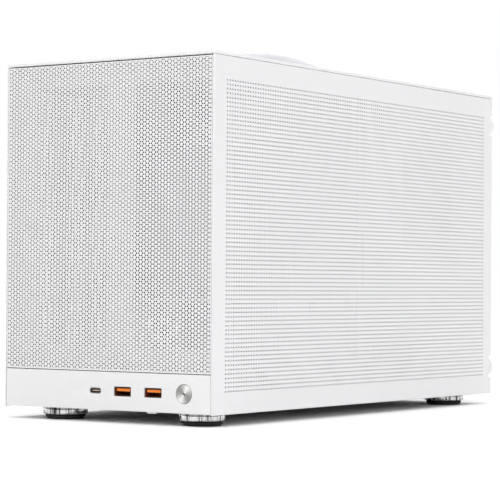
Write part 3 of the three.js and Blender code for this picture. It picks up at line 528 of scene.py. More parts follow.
# ------------------------------------------------------------------ perforated side panels
def side_panel(name, body, node, side):
    """A folded sheet with a square grid of round holes, a thicker plain rim, rear notches, a rear flange and push studs."""
    H = 236.0
    ny, nz, n = 120, 72, 8
    py, pz = H / 79.7, H / 82.56
    y_first = (0.006437 - 60 / 79.7) * H + YM
    z_first = (0.002957 + 5 / 82.56) * H + Z0
    r = 0.76
    t_in = 0.65  # sheet at the holes; the rim is folded to 2 mm
    zt = ZT - 2.25
    gy = y_first - py / 2 + py * np.arange(ny + 1)
    gz = z_first - pz / 2 + pz * np.arange(nz + 1)
    GY, GZ = np.meshgrid(gy, gz, indexing="ij")
    ng = (ny + 1) * (nz + 1)
    cyy, czz = np.meshgrid(y_first + py * np.arange(ny), z_first + pz * np.arange(nz), indexing="ij")
    ang = math.pi / 8 + 2 * math.pi * np.arange(n) / n
    RY = (cyy[..., None] + r * np.cos(ang)).reshape(-1)
    RZ = (czz[..., None] + r * np.sin(ang)).reshape(-1)
    nr = len(RY)
    xo, xi, xr = XO, XO - t_in, XI
    V = [np.stack([np.full(ng, xo), GY.ravel(), GZ.ravel()], 1), np.stack([np.full(nr, xo), RY, RZ], 1),
         np.stack([np.full(ng, xi), GY.ravel(), GZ.ravel()], 1), np.stack([np.full(nr, xi), RY, RZ], 1)]
    o_g, o_r, i_g, i_r = 0, ng, ng + nr, 2 * ng + nr
    idx = np.arange(ny * nz).reshape(ny, nz)
    ii, jj = np.meshgrid(np.arange(ny), np.arange(nz), indexing="ij")
    c00 = (ii * (nz + 1) + jj).ravel()
    c10 = ((ii + 1) * (nz + 1) + jj).ravel()
    c11 = ((ii + 1) * (nz + 1) + jj + 1).ravel()
    c01 = (ii * (nz + 1) + jj + 1).ravel()
    R = idx.ravel()[:, None] * n + np.arange(n)
    # Ring vertices 0..7 lie at 22.5 + 45k degrees; the corner at 45 degrees faces the edge 0-1.
    quads, tris = [], []
    corner = {0: c11, 1: c01, 2: c00, 3: c10}
    for q in range(4):
        a, b = 2 * q, (2 * q + 1) % n
        tris.append(np.stack([corner[q], R[:, b] + o_r, R[:, a] + o_r], 1))
        nxt = (2 * q + 2) % n
        quads.append(np.stack([corner[q], corner[(q + 1) % 4], R[:, nxt] + o_r, R[:, b] + o_r], 1))
    tris = np.concatenate(tris)
    quads = np.concatenate(quads)
    F = []
    F += tris[:, ::-1].tolist() if side < 0 else tris.tolist()
    F += quads[:, ::-1].tolist() if side < 0 else quads.tolist()
    # The same faces on the inside, turned over.
    sh = i_g - o_g
    F += (tris + sh).tolist() if side < 0 else (tris[:, ::-1] + sh).tolist()
    F += (quads + sh).tolist() if side < 0 else (quads[:, ::-1] + sh).tolist()
    walls = []
    for k in range(n):
        k2 = (k + 1) % n
        walls.append(np.stack([R[:, k] + o_r, R[:, k2] + o_r, R[:, k2] + i_r, R[:, k] + i_r], 1))
    walls = np.concatenate(walls)
    F += walls.tolist() if side > 0 else walls[:, ::-1].tolist()
    nv = 2 * (ng + nr)
    extra = []

    def v(x, y, z):
        extra.append((x, y, z))
        return nv + len(extra) - 1

    # Plain rim with rounded front edge; outline points run round the sheet.
    G = lambda i, j: i * (nz + 1) + j
    bottom = [G(i, 0) for i in range(ny + 1)]
    right_ = [G(ny, j) for j in range(nz + 1)]
    top = [G(i, nz) for i in range(ny + 1)]
    left_ = [G(0, j) for j in range(nz + 1)]
    zb, zn = Z0, [28.9, 220.4]
    rear = [(YR, zb)]
    for z in zn:
        rear += [(YR, z - 8.3), (YR - 3.5, z - 8.3), (YR - 3.5, z + 8.3), (YR, z + 8.3)]
    rear += [(YR, ZT - 11.8), (YR - 2.4, ZT - 11.8), (YR - 2.4, zt)]
    front = [(YF, zt), (YF, zb)]
    outline = rear + front

    def outer(x):
        return [v(x if x == XO or y > YF + 1 else EDGE_X, y, z) for y, z in outline]

    e = 0.28
    ring0 = outer(XO)
    ring1 = outer(xr)
    flip = side < 0

    def add(face):
        F.append(face[::-1] if flip else face)

    def rim(ring, g_off, inward):
        rr, fr = ring[: len(rear)], ring[len(rear):]
        # four n-gons: bottom, rear, top, front
        faces = [
            [fr[1], rr[0]] + [g_off(k) for k in bottom[::-1]],
            rr + [g_off(k) for k in right_[::-1]],
            [rr[-1], fr[0]] + [g_off(k) for k in top],
            fr + [g_off(k) for k in left_],
        ]
        for f in faces:
            add(f if not inward else f[::-1])

    rim(ring0, lambda k: k, False)
    # inner rim is 0.8 mm nearer the inside than the holed field, with a step wall round the field
    step = {}
    for k in bottom + right_ + top + left_:
        if k not in step:
            step[k] = v(EDGE_X if k < nz + 1 else xr, GY.ravel()[k], GZ.ravel()[k])
    rim(ring1, lambda k: step[k], True)
    loop = bottom + right_[1:] + top[::-1][1:] + left_[::-1][1:-1]
    for a, b in zip(loop, loop[1:] + loop[:1]):
        add([a + i_g, b + i_g, step[b], step[a]])
    for k in range(len(outline)):
        k2 = (k + 1) % len(outline)
        add([ring0[k], ring1[k], ring1[k2], ring0[k2]])
    verts = np.concatenate(V + [np.array(extra)])
    verts[:, 0] *= side
    me_ob = from_arrays(name, verts, F, ["white"], 50.0)
    # A small radius on every outer edge of the sheet.
    me = me_ob.data
    w = np.zeros(len(me.edges), np.float32)
    ev = np.zeros(len(me.edges) * 2, np.int32)
    me.edges.foreach_get("vertices", ev)
    ev = ev.reshape(-1, 2)
    ids = set(ring0)
    m0 = np.isin(ev, list(ids)).all(1)
    w[m0] = 1.0
    att = me.attributes.new("bevel_weight_edge", "FLOAT", "EDGE")
    att.data.foreach_set("value", w)
    bv = me_ob.modifiers.new("edge", "BEVEL")
    bv.limit_method = "WEIGHT"
    bv.width = 0.45 * MM
    bv.segments = 3
    bv.use_clamp_overlap = False
    # Rear flange and studs.
    fl = [(75.0, Z0 + 3), (87.2, Z0 + 3), (87.2, ZT - 15), (75.0, ZT - 15)]
    pts = [(75.0, Z0 + 3), (87.2, Z0 + 3), (87.2, ZT - 15), (75.0, ZT - 15)]
    for z in (220.4, 28.9):
        pts += [(75.0, z + 2.6), (80.2, z + 2.6)] + arc(80.2, z, 2.6, 90, -90, 10)[1:-1] + [(80.2, z - 2.6), (75.0, z - 2.6)]
    pts = [(a * side, b) for a, b in pts]
    flange = plate(name + "_flange", [pts], YR - 5.1, YR - 3.6, "XZ", ["white"], 0.15)
    bm = bmesh.new()
    for z in (Z0 + 24, ZT - 26):
        prof = [(0, 0), (3.8, 0), (3.8, 0.9), (2, 1.4), (2, 4.4), (3.0, 6.0), (2.9, 7.2), (1.9, 8.6), (0, 9.3)]
        lathe(bm, [(r_, -h) for r_, h in prof][::-1], "X", (XI + 0.2, YF + 19, z), 24)
    if side < 0:
        bmesh.ops.scale(bm, vec=(-1, 1, 1), verts=bm.verts)
    bmesh.ops.recalc_face_normals(bm, faces=bm.faces)
    studs = bm_to(name + "_studs", bm, ["steel"])
    stand(me_ob, node, body)
    stand(flange, None, body)
    stand(studs, None, body)
    return me_ob


side_panel("right_sheet", "right_panel", "right_panel", 1)
side_panel("left_sheet", "left_panel", "left_panel", -1)


# ------------------------------------------------------------------ front mesh
def front_mesh():
    """A pan whose face is holed at the corners of a honeycomb, which leaves six-sided islands joined by narrow webs."""
    dx, dz = 2.516, 2.891
    px0, pz0 = 1.375, -0.475 + Z0
    xe, zb, zt = EDGE_X - 0.4, 34.6, 241.0
    rim = 0.75
    x0, x1, z0, z1 = -xe + rim, xe - rim, zb + rim, zt - rim
    R = dx * 2 / 3  # island centre to hole centre
    re_, ri_ = HOLE_WEB, HOLE_ISLE  # hole radius towards its neighbours, and towards the islands
    tkn = 0.6
    verts, vid = [], {}

    def vert(x, z):
        k = (round(x * 500), round(z * 500))
        if k not in vid:
            vid[k] = len(verts)
            verts.append((x, z))
        return vid[k]

    def clip(poly):
        for axis, lim, sgn in ((0, x0, 1), (0, x1, -1), (1, z0, 1), (1, z1, -1)):
            out = []
            for k in range(len(poly)):
                p, q = poly[k - 1], poly[k]
                dp, dq = (p[axis] - lim) * sgn, (q[axis] - lim) * sgn
                if (dp >= 0) != (dq >= 0):
                    t = dp / (dp - dq)
                    out.append((p[0] + t * (q[0] - p[0]), p[1] + t * (q[1] - p[1])))
                if dq >= 0:
                    out.append(q)
            poly = out
            if not poly:
                return poly
        return poly

    faces, walls = [], []
    for i in range(-36, 37):
        x = px0 + i * dx
        for j in range(5, 90):
            z = pz0 + (j + (0.5 if i % 2 else 0.0)) * dz
            if x < x0 - R or x > x1 + R or z < z0 - dz / 2 or z > z1 + dz / 2:
                continue
            cs = [(x + R * math.cos(math.radians(60 * k)), z + (dz / 2 if k in (1, 2) else -dz / 2 if k in (4, 5) else 0.0)) for k in range(6)]
            loop = []
            for k in range(6):
                cx, cz = cs[k]
                pts = []
                for ox, oz, rr in ((cs[k - 1][0] - cx, cs[k - 1][1] - cz, re_), (x - cx, z - cz, ri_), (cs[(k + 1) % 6][0] - cx, cs[(k + 1) % 6][1] - cz, re_)):
                    d = math.hypot(ox, oz)
                    pts.append((cx + ox / d * rr, cz + oz / d * rr))
                loop += pts
                for p, q in ((pts[0], pts[1]), (pts[1], pts[2])):
                    if all(x0 <= u <= x1 and z0 <= w <= z1 for u, w in (p, q)):
                        walls.append((vert(*p), vert(*q)))
            inside = all(x0 <= u <= x1 and z0 <= w <= z1 for u, w in loop)
            poly = loop if inside else clip(loop)
            ids = []
            for p in poly:
                v = vert(*p)
                if not ids or ids[-1] != v:
                    ids.append(v)
            if len(ids) > 1 and ids[0] == ids[-1]:
                ids.pop()
            if len(set(ids)) >= 3 and len(set(ids)) == len(ids):
                faces.append(ids)
    ring_in = [vert(*p) for p in ((x0, z0), (x1, z0), (x1, z1), (x0, z1))]
    ring_out = [vert(*p) for p in ((-xe, zb), (xe, zb), (xe, zt), (-xe, zt))]
    for k in range(4):
        faces.append([ring_out[k], ring_out[(k + 1) % 4], ring_in[(k + 1) % 4], ring_in[k]])
    P = np.array(verts)
    n = len(P)
    V = np.concatenate([np.stack([P[:, 0], np.full(n, YF), P[:, 1]], 1), np.stack([P[:, 0], np.full(n, YF + tkn), P[:, 1]], 1)])
    F = []
    for f in faces:
        F.append(f)
        F.append([k + n for k in f[::-1]])
    for a, b in walls:
        F.append([b, a, a + n, b + n])
    for k in range(4):
        a, b = ring_in[k], ring_in[(k + 1) % 4]
        F.append([a, b, b + n, a + n][::-1])
    # Split by halves, so that each piece stays a moderate mesh.
    cx = np.array([V[f][:, 0].mean() for f in F])
    out = []
    for tag, sel in (("left", cx < px0), ("right", cx >= px0)):
        fs = [f for f, s in zip(F, sel) if s]
        used = sorted({k for f in fs for k in f})
        m = {k: i for i, k in enumerate(used)}
        out.append(from_arrays("front_holes_" + tag, V[used], [[m[k] for k in f] for f in fs], ["mesh"], 40.0))
    # Turned edges behind the face.
    bm = bmesh.new()
    y0, y1, t = YF + 0.01, YF + 7, 0.7
    rbox(bm, -xe, -xe + t, y0, y1, zb, zt, 0.25)
    rbox(bm, xe - t, xe, y0, y1, zb, zt, 0.25)
    rbox(bm, -xe + t, xe - t, y0, y1, zb, zb + t, 0.25)
    rbox(bm, -xe + t, xe - t, y0, y1, zt - t, zt, 0.25)
    edge = bm_to("front_mesh_edges", bm, ["mesh"])
    stand(out[0], "front_mesh", "front_mesh")
    stand(out[1], None, "front_mesh")
    stand(edge, None, "front_mesh")


HOLE_WEB, HOLE_ISLE = 0.71, 0.71
front_mesh()


# ------------------------------------------------------------------ top cover, strip, button, ports
def top_cover():
    sheet = plate("cover_sheet", [rrect(0, YM, 176, 382, 1.6, 6), circle(0, STRAP_Y - SCREW_AT, 2.3, 24), circle(0, STRAP_Y + SCREW_AT, 2.3, 24)], ZT - 2, ZT, "XY", ["white"], 0.45, 35.0, 2)
    fl = plate("cover_flange", [rrect(0, ZT - 5.95, 176, 10.9, 0.8, 3)], YR - 2, YR, "XZ", ["white"], 0.35, 35.0, 2)
    stand(sheet, "top_cover", "chassis")
    stand(fl, None, "chassis")


top_cover()


def strip():
    x = EDGE_X - 0.4
    loops = [rrect(0, 21.25, 2 * x, 25.5, 0.7, 4), rrect(USB_C_X, PORT_Z, 9.9, 3.9, 1.94, 10)]
    loops += [rrect(u, PORT_Z, 14.3, 6.4, 0.5, 4) for u in USB_A_X]
    loops += [circle(BUTTON_X, PORT_Z, 6.45, 72)]
    face = plate("strip_face", loops, YF, YF + 2.5, "XZ", ["band"], 0.25, 35.0, 2)
    bm = bmesh.new()
    rbox(bm, -x, x, YF + 1.2, YF + 10, 8.5, 9.7, 0.3)
    rbox(bm, 34.5, 41.5, YF + 1.2, YF + 3.2, 7.5, 9.0, 0.25)
    ret = bm_to("strip_return", bm, ["band"])
    stand(face, "front_band", "chassis")
    stand(ret, None, "chassis")


strip()


def button():
    bm = bmesh.new()
    prof = [(0, 1.4), (0.66, 1.4), (0.70, 0.24), (0.82, 0.14), (5.72, 0.12), (5.80, 0.20), (5.86, 0.20), (5.95, 0.12), (6.05, 0.18), (6.15, 0.42), (6.15, 3.2), (7.3, 3.2), (7.3, 4.4), (3.2, 4.4), (3.2, 6.2), (0, 6.2)]
    mi = [1, 1, 0, 0, 0, 0, 0, 0, 0, 0, 0, 0, 0, 0, 0]
    lathe(bm, prof, "Y", (BUTTON_X, YF, PORT_Z), 96, mi)
    bmesh.ops.recalc_face_normals(bm, faces=bm.faces)
    ob = bm_to("button_cap", bm, ["spun", "black"])
    stand(ob, "power_button", "power_button")


button()


def usb_a(i, x):
    """A stacked-shell receptacle: folded metal shell, an insulating tongue in the upper half with its contacts, and a back wall."""
    w, h = 13.4, 5.7
    y0, y1 = YF + 0.6, YF + 15
    bm = bmesh.new()
    z = PORT_Z
    outer_, inner = rrect(x, z, w, h, 0.7, 4), rrect(x, z, w - 0.7, h - 0.7, 0.45, 4)
    vo = [[bm.verts.new((a, y, b)) for a, b in outer_] for y in (y0, y1)]
    vi = [[bm.verts.new((a, y, b)) for a, b in inner] for y in (y0, y0 + 9.6)]
    n = len(outer_)
    for k in range(n):
        k2 = (k + 1) % n
        bm.faces.new((vo[0][k], vo[0][k2], vo[1][k2], vo[1][k])).material_index = 0
        bm.faces.new((vi[0][k2], vi[0][k], vi[1][k], vi[1][k2])).material_index = 1
        bm.faces.new((vo[0][k2], vo[0][k], vi[0][k], vi[0][k2])).material_index = 0
    bm.faces.new(vo[1]).material_index = 0
    bm.faces.new(vi[1]).material_index = 1
    bmesh.ops.recalc_face_normals(bm, faces=bm.faces)
    rbox(bm, x - 5.6, x + 5.6, y0 + 0.7, y0 + 9.8, z + 0.25, z + 2.1, 0.25, 2, 2)
    for k in range(4):
        cx = x - 3.75 + 2.5 * k
        rbox(bm, cx - 0.5, cx + 0.5, y0 + 1.4, y0 + 8.8, z + 0.10, z + 0.35, 0.05, 1, 3)
    for k in range(5):
        cx = x - 4 + 2.0 * k
        rbox(bm, cx - 0.3, cx + 0.3, y0 + 2.6, y0 + 8.8, z + 0.02, z + 0.3, 0.05, 1, 3)
    # Shell springs that press on the plug.
    for sx in (-1, 1):
        rbox(bm, x + sx * 3 - 1.1, x + sx * 3 + 1.1, y0 + 2.2, y0 + 7.5, z - 2.5, z - 2.2, 0.08, 1, 0)
    ob = bm_to("usb_a_shell_%d" % (i + 1), bm, ["shell_dark", "rust", "orange", "gold"])
    stand(ob, "usb_a_port_%d" % (i + 1), "chassis")


for i_, x_ in enumerate(USB_A_X):
    usb_a(i_, x_)


def usb_c():
    x, z = USB_C_X, PORT_Z
    y0, y1 = YF + 0.5, YF + 8.5
    bm = bmesh.new()
    outer_, inner = rrect(x, z, 9.0, 3.2, 1.58, 10), rrect(x, z, 8.4, 2.6, 1.28, 10)
    vo = [[bm.verts.new((a, y, b)) for a, b in outer_] for y in (y0, y1)]
    vi = [[bm.verts.new((a, y, b)) for a, b in inner] for y in (y0, y0 + 6.4)]
    n = len(outer_)
    for k in range(n):
        k2 = (k + 1) % n
        bm.faces.new((vo[0][k], vo[0][k2], vo[1][k2], vo[1][k])).material_index = 0
        bm.faces.new((vi[0][k2], vi[0][k], vi[1][k], vi[1][k2])).material_index = 1
        bm.faces.new((vo[0][k2], vo[0][k], vi[0][k], vi[0][k2])).material_index = 0
    bm.faces.new(vo[1]).material_index = 0
    bm.faces.new(vi[1]).material_index = 1
    bmesh.ops.recalc_face_normals(bm, faces=bm.faces)
    rbox(bm, x - 3.2, x + 3.2, y0 + 0.5, y0 + 6.6, z - 0.36, z + 0.36, 0.15, 2, 2)
    for k in range(6):
        cx = x - 2.5 + k
        for s in (-1, 1):
            rbox(bm, cx - 0.16, cx + 0.16, y0 + 1.2, y0 + 5.8, z + s * 0.36 - 0.05, z + s * 0.36 + 0.05, 0, 1, 3)
    ob = bm_to("usb_c_shell", bm, ["dark_steel", "shell_dark", "cream", "gold"])
    stand(ob, "usb_c_port", "chassis")


usb_c()


# ------------------------------------------------------------------ feet, thumbscrews, strap
FEET = {"front_left": (-49.4, -173.55), "front_right": (66.3, -173.55), "rear_left": (-49.4, 151.25), "rear_right": (66.3, 151.25)}
for nm, (fx, fy) in FEET.items():
    bm = bmesh.new()
    prof = [(0, 3.1), (13.2, 3.1), (13.9, 3.14), (14.5, 3.35), (15.0, 3.7), (15.3, 4.2), (15.4, 4.7), (15.4, 5.2), (15.15, 5.35), (15.15, 5.55), (15.4, 5.7), (15.4, 7.4), (15.32, 7.9), (15.1, 8.25), (14.7, 8.4), (0, 8.4)]
    lathe(bm, prof, "Z", (fx, fy, 0), 96)
    bmesh.ops.recalc_face_normals(bm, faces=bm.faces)
    stand(bm_to("ring_" + nm, bm, ["chrome"]), "foot_ring_" + nm, "chassis")
    bm = bmesh.new()
    prof = [(0, 0.25), (4.0, 0.25), (4.3, 0), (7.4, 0), (7.7, 0.3), (8.3, 0.3), (8.6, 0), (11.4, 0), (11.9, 0.12), (12.8, 0.85), (13.4, 1.4), (13.6, 1.8), (13.6, 2.7), (0, 2.7)]
    lathe(bm, prof, "Z", (fx, fy, 0), 96)
    bmesh.ops.recalc_face_normals(bm, faces=bm.faces)
    stand(bm_to("pad_" + nm, bm, ["pad"]), "foot_pad_" + nm, "chassis")


def thumbscrew(tag, x, z):
    """Knurled head with a cross slot and a plain shank."""
    bm = bmesh.new()
    flutes, per = 30, 6
    seg = flutes * per
    hs = [(0.0, 7.2), (0.35, 7.55), (1.1, 7.62)]
    rings = []
    stack = [(0.0, 7.1, 0.0), (0.4, 7.62, 0.0), (1.0, 7.7, 1.0), (5.7, 7.7, 1.0), (6.3, 7.62, 0.0), (6.8, 7.1, 0.0)]
    for h, r, k in stack:
        ring = []
        for i in range(seg):
            a = 2 * math.pi * i / seg
            d = 0.16 * k * (0.5 + 0.5 * math.cos(flutes * a)) - 0.07 * k
            ring.append(bm.verts.new((x + (r + d) * math.sin(a), YR - 3.3 + h, z + (r + d) * math.cos(a))))
        rings.append(ring)
    for a, b in zip(rings, rings[1:]):
        for i in range(seg):
            j = (i + 1) % seg
            bm.faces.new((a[i], a[j], b[j], b[i]))
    bm.faces.new(rings[0][::-1])
    # Dished face with a rim.
    inner = []
    for r, h in ((6.3, 6.8), (5.9, 6.45), (0.9, 6.3)):
        inner.append([bm.verts.new((x + r * math.sin(2 * math.pi * i / seg), YR - 3.3 + h, z + r * math.cos(2 * math.pi * i / seg))) for i in range(seg)])
    prev = rings[-1]
    for ring in inner:
        for i in range(seg):
            j = (i + 1) % seg
            bm.faces.new((prev[i], prev[j], ring[j], ring[i]))
        prev = ring
    bm.faces.new(prev)
    bmesh.ops.recalc_face_normals(bm, faces=bm.faces)
    # Cross recess: two black slabs set almost flush in the dished face, painted shade standing in for the dark of the
    # slots.
    for a, b in ((3.6, 0.55), (0.55, 3.6)):
        rbox(bm, x - a, x + a, YR - 3.3 + 6.1, YR - 3.3 + 6.36, z - b, z + b, 0.1, 1, 1)
    lathe(bm, [(0, -5.2), (1.5, -5.2), (2.0, -4.6), (2.0, 0.3), (0, 0.3)], "Y", (x, YR - 3.3, z), 24, 2)
    bmesh.ops.recalc_face_normals(bm, faces=bm.faces)
    ob = bm_to("screw_" + tag, bm, ["white", "black", "steel"], 40.0)
    stand(ob, "thumbscrew_" + tag, "thumbscrew_" + tag)


for sd in (-1, 1):
    for en, zz in (("bottom", 28.9), ("top", 220.4)):
        thumbscrew(("left" if sd < 0 else "right") + "_" + en, sd * 80.2, zz)


def strap():
    """One arched band that swells towards its middle, with flat sides, small edge radii and a fine groove near both edges."""
    w = STRAP_W / 2

    def section(t):
        def top(x):
            return t - 0.25 * (x / w) ** 2 - 0.2 * math.exp(-(((abs(x) - (w - 2.3)) / 0.35) ** 2))

        xs = [-w + 1.0 + (2 * w - 2.0) * k / 36 for k in range(37)]
        lower = [(x, 0.0) for x in xs[::4]]
        right = [(w - 0.45, 0.04), (w - 0.12, 0.22), (w, 0.6), (w, t * 0.5), (w, t - 0.95), (w - 0.12, t - 0.55), (w - 0.45, t - 0.36)]
        return lower + right + [(x, top(x)) for x in xs[::-1]] + [(-x, y) for x, y in right[::-1]]

    end = STRAP_HALF + 14.6
    ys = [-end, -end + 4, -STRAP_HALF - 5] + [-STRAP_HALF + 2 * STRAP_HALF * k / 90 for k in range(91)] + [STRAP_HALF + 5, end - 4, end]
    arch = lambda y: (0.5 * (1 + math.cos(math.pi * min(1.0, abs(y) / STRAP_HALF)))) ** 0.8
    over = lambda y: 0.35 + STRAP_T + (STRAP_PEAK - STRAP_T - 0.35) * arch(y)
    bm = bmesh.new()
    rings = []
    for y in ys:
        d = 0.5
        sl = (over(y + d) - over(y - d)) / (2 * d)
        c = 1 / math.sqrt(1 + sl * sl)
        s = sl * c
        t = STRAP_T + STRAP_SWELL * arch(y)
        rings.append([bm.verts.new((x, STRAP_Y + y - s * (u - t), ZT + over(y) + c * (u - t))) for x, u in section(t)])
    n = len(rings[0])
    for a, b in zip(rings, rings[1:]):
        for i in range(n):
            j = (i + 1) % n
            bm.faces.new((a[i], a[j], b[j], b[i]))
    bm.faces.new(rings[0][::-1])
    bm.faces.new(rings[-1])
    bmesh.ops.recalc_face_normals(bm, faces=bm.faces)
    ob = bm_to("strap_band", bm, ["strap"], 60.0)
    stand(ob, "carry_strap", "chassis")
    for name, k in (("front", -1), ("rear", 1)):
        yc = STRAP_Y + k * (STRAP_HALF + 8.5)
        bm = bmesh.new()
        hw, hl = (STRAP_W + 9) / 2, 9.5
        z0, z1 = ZT + 0.3, ZT + 4.7
        # Saddle: two cheeks, an end wall and a crowned roof over the strap.
        rbox(bm, -hw, -STRAP_W / 2 - 0.4, yc - hl, yc + hl, z0, z1 - 0.5, 0.6, 3)
        rbox(bm, STRAP_W / 2 + 0.4, hw, yc - hl, yc + hl, z0, z1 - 0.5, 0.6, 3)
        ye = (yc + 7.3, yc + hl) if k > 0 else (yc - hl, yc - 7.3)
        rbox(bm, -hw + 1, hw - 1, ye[0], ye[1], z0, z1 - 0.5, 0.6, 3)
        roof = bm_to("saddle_" + name, bm, ["steel"])
        lid = plate("saddle_roof_" + name, [rrect(0, yc, 2 * hw, 2 * hl, 4, 8), circle(0, STRAP_Y + k * SCREW_AT, 2.3, 24)], ZT + 3.8, z1, "XY", ["steel"], 0.4, 35.0, 3)
        ob = join([roof, lid], "saddle_cap_" + name)
        stand(ob, "strap_anchor_" + name, "chassis")
        bm = bmesh.new()
        c = (0, STRAP_Y + k * SCREW_AT, 0)
        lathe(bm, [(0, ZT - 5), (1.6, ZT - 5), (1.9, ZT - 4.4), (1.9, ZT + 5.0), (3.9, ZT + 5.02), (4.0, ZT + 5.15), (3.85, ZT + 5.6), (3.3, ZT + 5.95), (2.6, ZT + 6.1), (1.5, ZT + 6.1), (1.45, ZT + 5.4), (0, ZT + 5.35)], "Z", c, 48, [0] * 9 + [1, 1])
        bmesh.ops.recalc_face_normals(bm, faces=bm.faces)
        stand(bm_to("saddle_screw_" + name, bm, ["steel", "black"]), "strap_screw_" + name, "chassis")


strap()

# ------------------------------------------------------------------ materials of the CAD nodes that stay
SLOT_LOOK = {
    "white_paint": "white", "mesh_paint": "mesh", "chassis_paint": "chassis", "black_paint": "black_coat", "zinc_steel": "steel",
    "spun_metal": "spun", "chrome": "chrome", "pad_rubber": "pad", "strap_silicone": "strap", "port_c": "dark_steel", "port_a": "rust",
    "board_green": "pcb_green", "board_black": "pcb_black", "black_plastic": "black", "fin_aluminium": "fin", "heat_spreader": "spreader",
    "shroud_plastic": "shroud", "drive_shell": "spreader", "lead_rubber": "lead",
}


def pcb(name, mask, track):
    """Solder mask over copper tracks: a brick-like routing pattern, vias and slight gloss."""
    m = Mat(name)
    mp = m.n("Mapping")
    mp.inputs["Scale"].default_value = (1, 1, 1)
    m.link(m.co.outputs["Object"], mp.inputs["Vector"])
    br = m.n("TexBrick", offset=0.5, squash=1.6, squash_frequency=3, ins={"Scale": 150.0, "Mortar Size": 0.012, "Mortar Smooth": 0.2, "Brick Width": 0.9, "Row Height": 0.16, "Color1": (0, 0, 0, 1), "Color2": (0.1, 0.1, 0.1, 1), "Mortar": (1, 1, 1, 1)})
    m.link(mp.outputs["Vector"], br.inputs["Vector"])
    vo = m.n("TexVoronoi", ins={"Scale": 420.0})
    m.link(m.co.outputs["Object"], vo.inputs["Vector"])
    via = m.n("MapRange", ins={"From Min": 0.10, "From Max": 0.16, "To Min": 1.0, "To Max": 0.0})
    m.link(vo.outputs["Distance"], via.inputs["Value"])
    mx = m.n("Math", operation="MAXIMUM")
    m.link(br.outputs["Fac"], mx.inputs[0])
    m.link(via.outputs["Result"], mx.inputs[1])
    m.base(m.ramp(mx.outputs[0], [(0.0, mask), (1.0, track)]))
    m.rough(m.span(m.noise(200.0), 0.32, 0.46))
    m.normal(m.bump(mx.outputs[0], 0.00004, 0.6))
    return m.m


M["pcb_green"] = pcb("mask_green", (0.012, 0.060, 0.028), (0.05, 0.17, 0.06))
M["pcb_black"] = pcb("mask_black", (0.010, 0.011, 0.013), (0.055, 0.05, 0.035))


def shield_steel(name, face, depth):
    """Bare steel connector shells that stand out of a dark coated shield, with dark insulators inside them."""
    m = Mat(name)
    sep = m.n("SeparateXYZ")
    m.link(m.co.outputs["Object"], sep.inputs["Vector"])
    inside = m.span(sep.outputs["Y"], 0.0, 1.0, face - depth, face)
    tone = m.noise(60.0, 4.0, 0.6)
    blend = m.n("Math", operation="MULTIPLY_ADD", ins={1: 0.06})
    m.link(tone, blend.inputs[0])
    m.link(inside, blend.inputs[2])
    m.base(m.ramp(blend.outputs[0], [(0.05, (0.016, 0.016, 0.018)), (0.85, (0.60, 0.61, 0.625))]))
    m.link(inside, m.b.inputs["Metallic"])
    m.rough(m.span(m.noise(420.0, 4.0, 0.65, (1, 1, 12)), 0.26, 0.44))
    m.normal(m.bump(m.noise(420.0, 4.0, 0.65, (1, 1, 12)), 0.00002, 0.5))
    return m.m


M["shield"] = shield_steel("shield_steel", 0.18505, 0.0006)
slot_of = {s["node"]: s["material_slot"] for s in frame["record"]["subparts"]}
for node_name, ob in nodes.items():
    ob.data.materials.clear()
    ob.data.materials.append(M[SLOT_LOOK[slot_of[node_name]]])
    for p in ob.data.polygons:
        p.material_index = 0
nodes["rear_io_block"].data.materials[0] = M["shield"]


def soften(node, width):
    ob = nodes[node]
    bv = ob.modifiers.new("soft_edge", "BEVEL")
    bv.limit_method = "ANGLE"
    bv.angle_limit = math.radians(50)
    bv.width = width * MM
    bv.segments = 2
    bv.harden_normals = False
    bv.use_clamp_overlap = True


for node_name in ("rear_panel", "mains_inlet", "gpu_bracket", "chassis_base", "front_frame", "rear_fan_frame", "cpu_fan_frame", "gpu_shroud", "psu_case"):
    soften(node_name, 0.2)


# ------------------------------------------------------------------ floor, light, world
def floor():
    me = bpy.data.meshes.new("floor")
    s = 6.0
    me.from_pydata([(-s, -s, 0), (s, -s, 0), (s, s, 0), (-s, s, 0)], [], [(0, 1, 2, 3)])
    m = Mat("floor_paper")
    m.base(m.ramp(m.noise(3.0, 3.0, 0.5), [(0.3, (0.952, 0.952, 0.954)), (0.7, (0.962, 0.962, 0.964))]))
    m.rough(m.span(m.noise(30.0), 0.75, 0.85))
    m.normal(m.bump(m.noise(900.0), 0.00004, 0.3))
    m.set(Specular_IOR_Level=0.2)
    me.materials.append(m.m)
    ob = bpy.data.objects.new("floor", me)
    bpy.context.scene.collection.objects.link(ob)


floor()


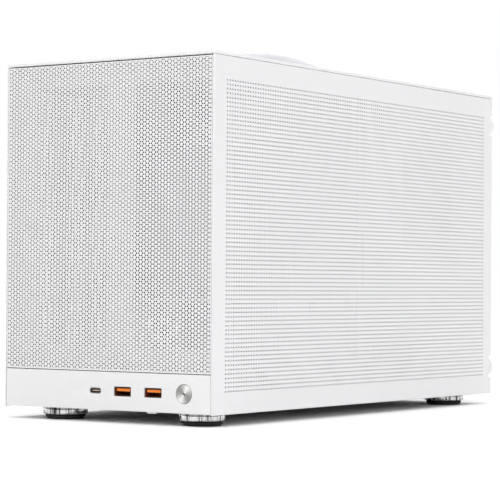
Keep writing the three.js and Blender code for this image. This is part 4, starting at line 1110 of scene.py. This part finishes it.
def area_light(name, at, to, size, power, color=(1, 1, 1)):
    li = bpy.data.lights.new(name, "AREA")
    li.shape = "RECTANGLE"
    li.size, li.size_y = size
    li.energy = power
    li.color = color
    ob = bpy.data.objects.new(name, li)
    bpy.context.scene.collection.objects.link(ob)
    ob.location = at
    d = Vector(to) - Vector(at)
    ob.rotation_euler = d.to_track_quat("-Z", "Y").to_euler()
    ob.visible_camera = False
    return ob


LOW, HIGH = 0.22, 1.75


def world():
    w = bpy.data.worlds.new("studio")
    bpy.context.scene.world = w
    w.use_nodes = True
    t = w.node_tree
    t.nodes.clear()
    out = t.nodes.new("ShaderNodeOutputWorld")
    seen = t.nodes.new("ShaderNodeBackground")
    seen.inputs["Color"].default_value = (1, 1, 1, 1)
    seen.inputs["Strength"].default_value = 1.0
    lit = t.nodes.new("ShaderNodeBackground")
    co = t.nodes.new("ShaderNodeTexCoord")
    sep = t.nodes.new("ShaderNodeSeparateXYZ")
    t.links.new(co.outputs["Generated"], sep.inputs[0])
    up = t.nodes.new("ShaderNodeMapRange")
    up.interpolation_type = "SMOOTHSTEP"
    for k, v in {"From Min": 0.05, "From Max": 1.0, "To Min": LOW, "To Max": HIGH}.items():
        up.inputs[k].default_value = v
    t.links.new(sep.outputs["Z"], up.inputs["Value"])
    t.links.new(up.outputs["Result"], lit.inputs["Strength"])
    lit.inputs["Color"].default_value = (1.0, 1.0, 1.0, 1)
    lp = t.nodes.new("ShaderNodeLightPath")
    mix = t.nodes.new("ShaderNodeMixShader")
    t.links.new(lp.outputs["Is Camera Ray"], mix.inputs[0])
    t.links.new(lit.outputs[0], mix.inputs[1])
    t.links.new(seen.outputs[0], mix.inputs[2])
    t.links.new(mix.outputs[0], out.inputs[0])


world()
area_light("key_right", (2.3, -1.5, 1.3), (0, 0, 0.12), (1.2, 1.2), 9)
area_light("key_front", (0.2, -2.8, 1.3), (0, 0, 0.12), (1.2, 1.2), 6)
vs = bpy.context.scene.view_settings
vs.view_transform = "Standard"
vs.look = "None"
vs.exposure = 0.0
vs.gamma = 1.0
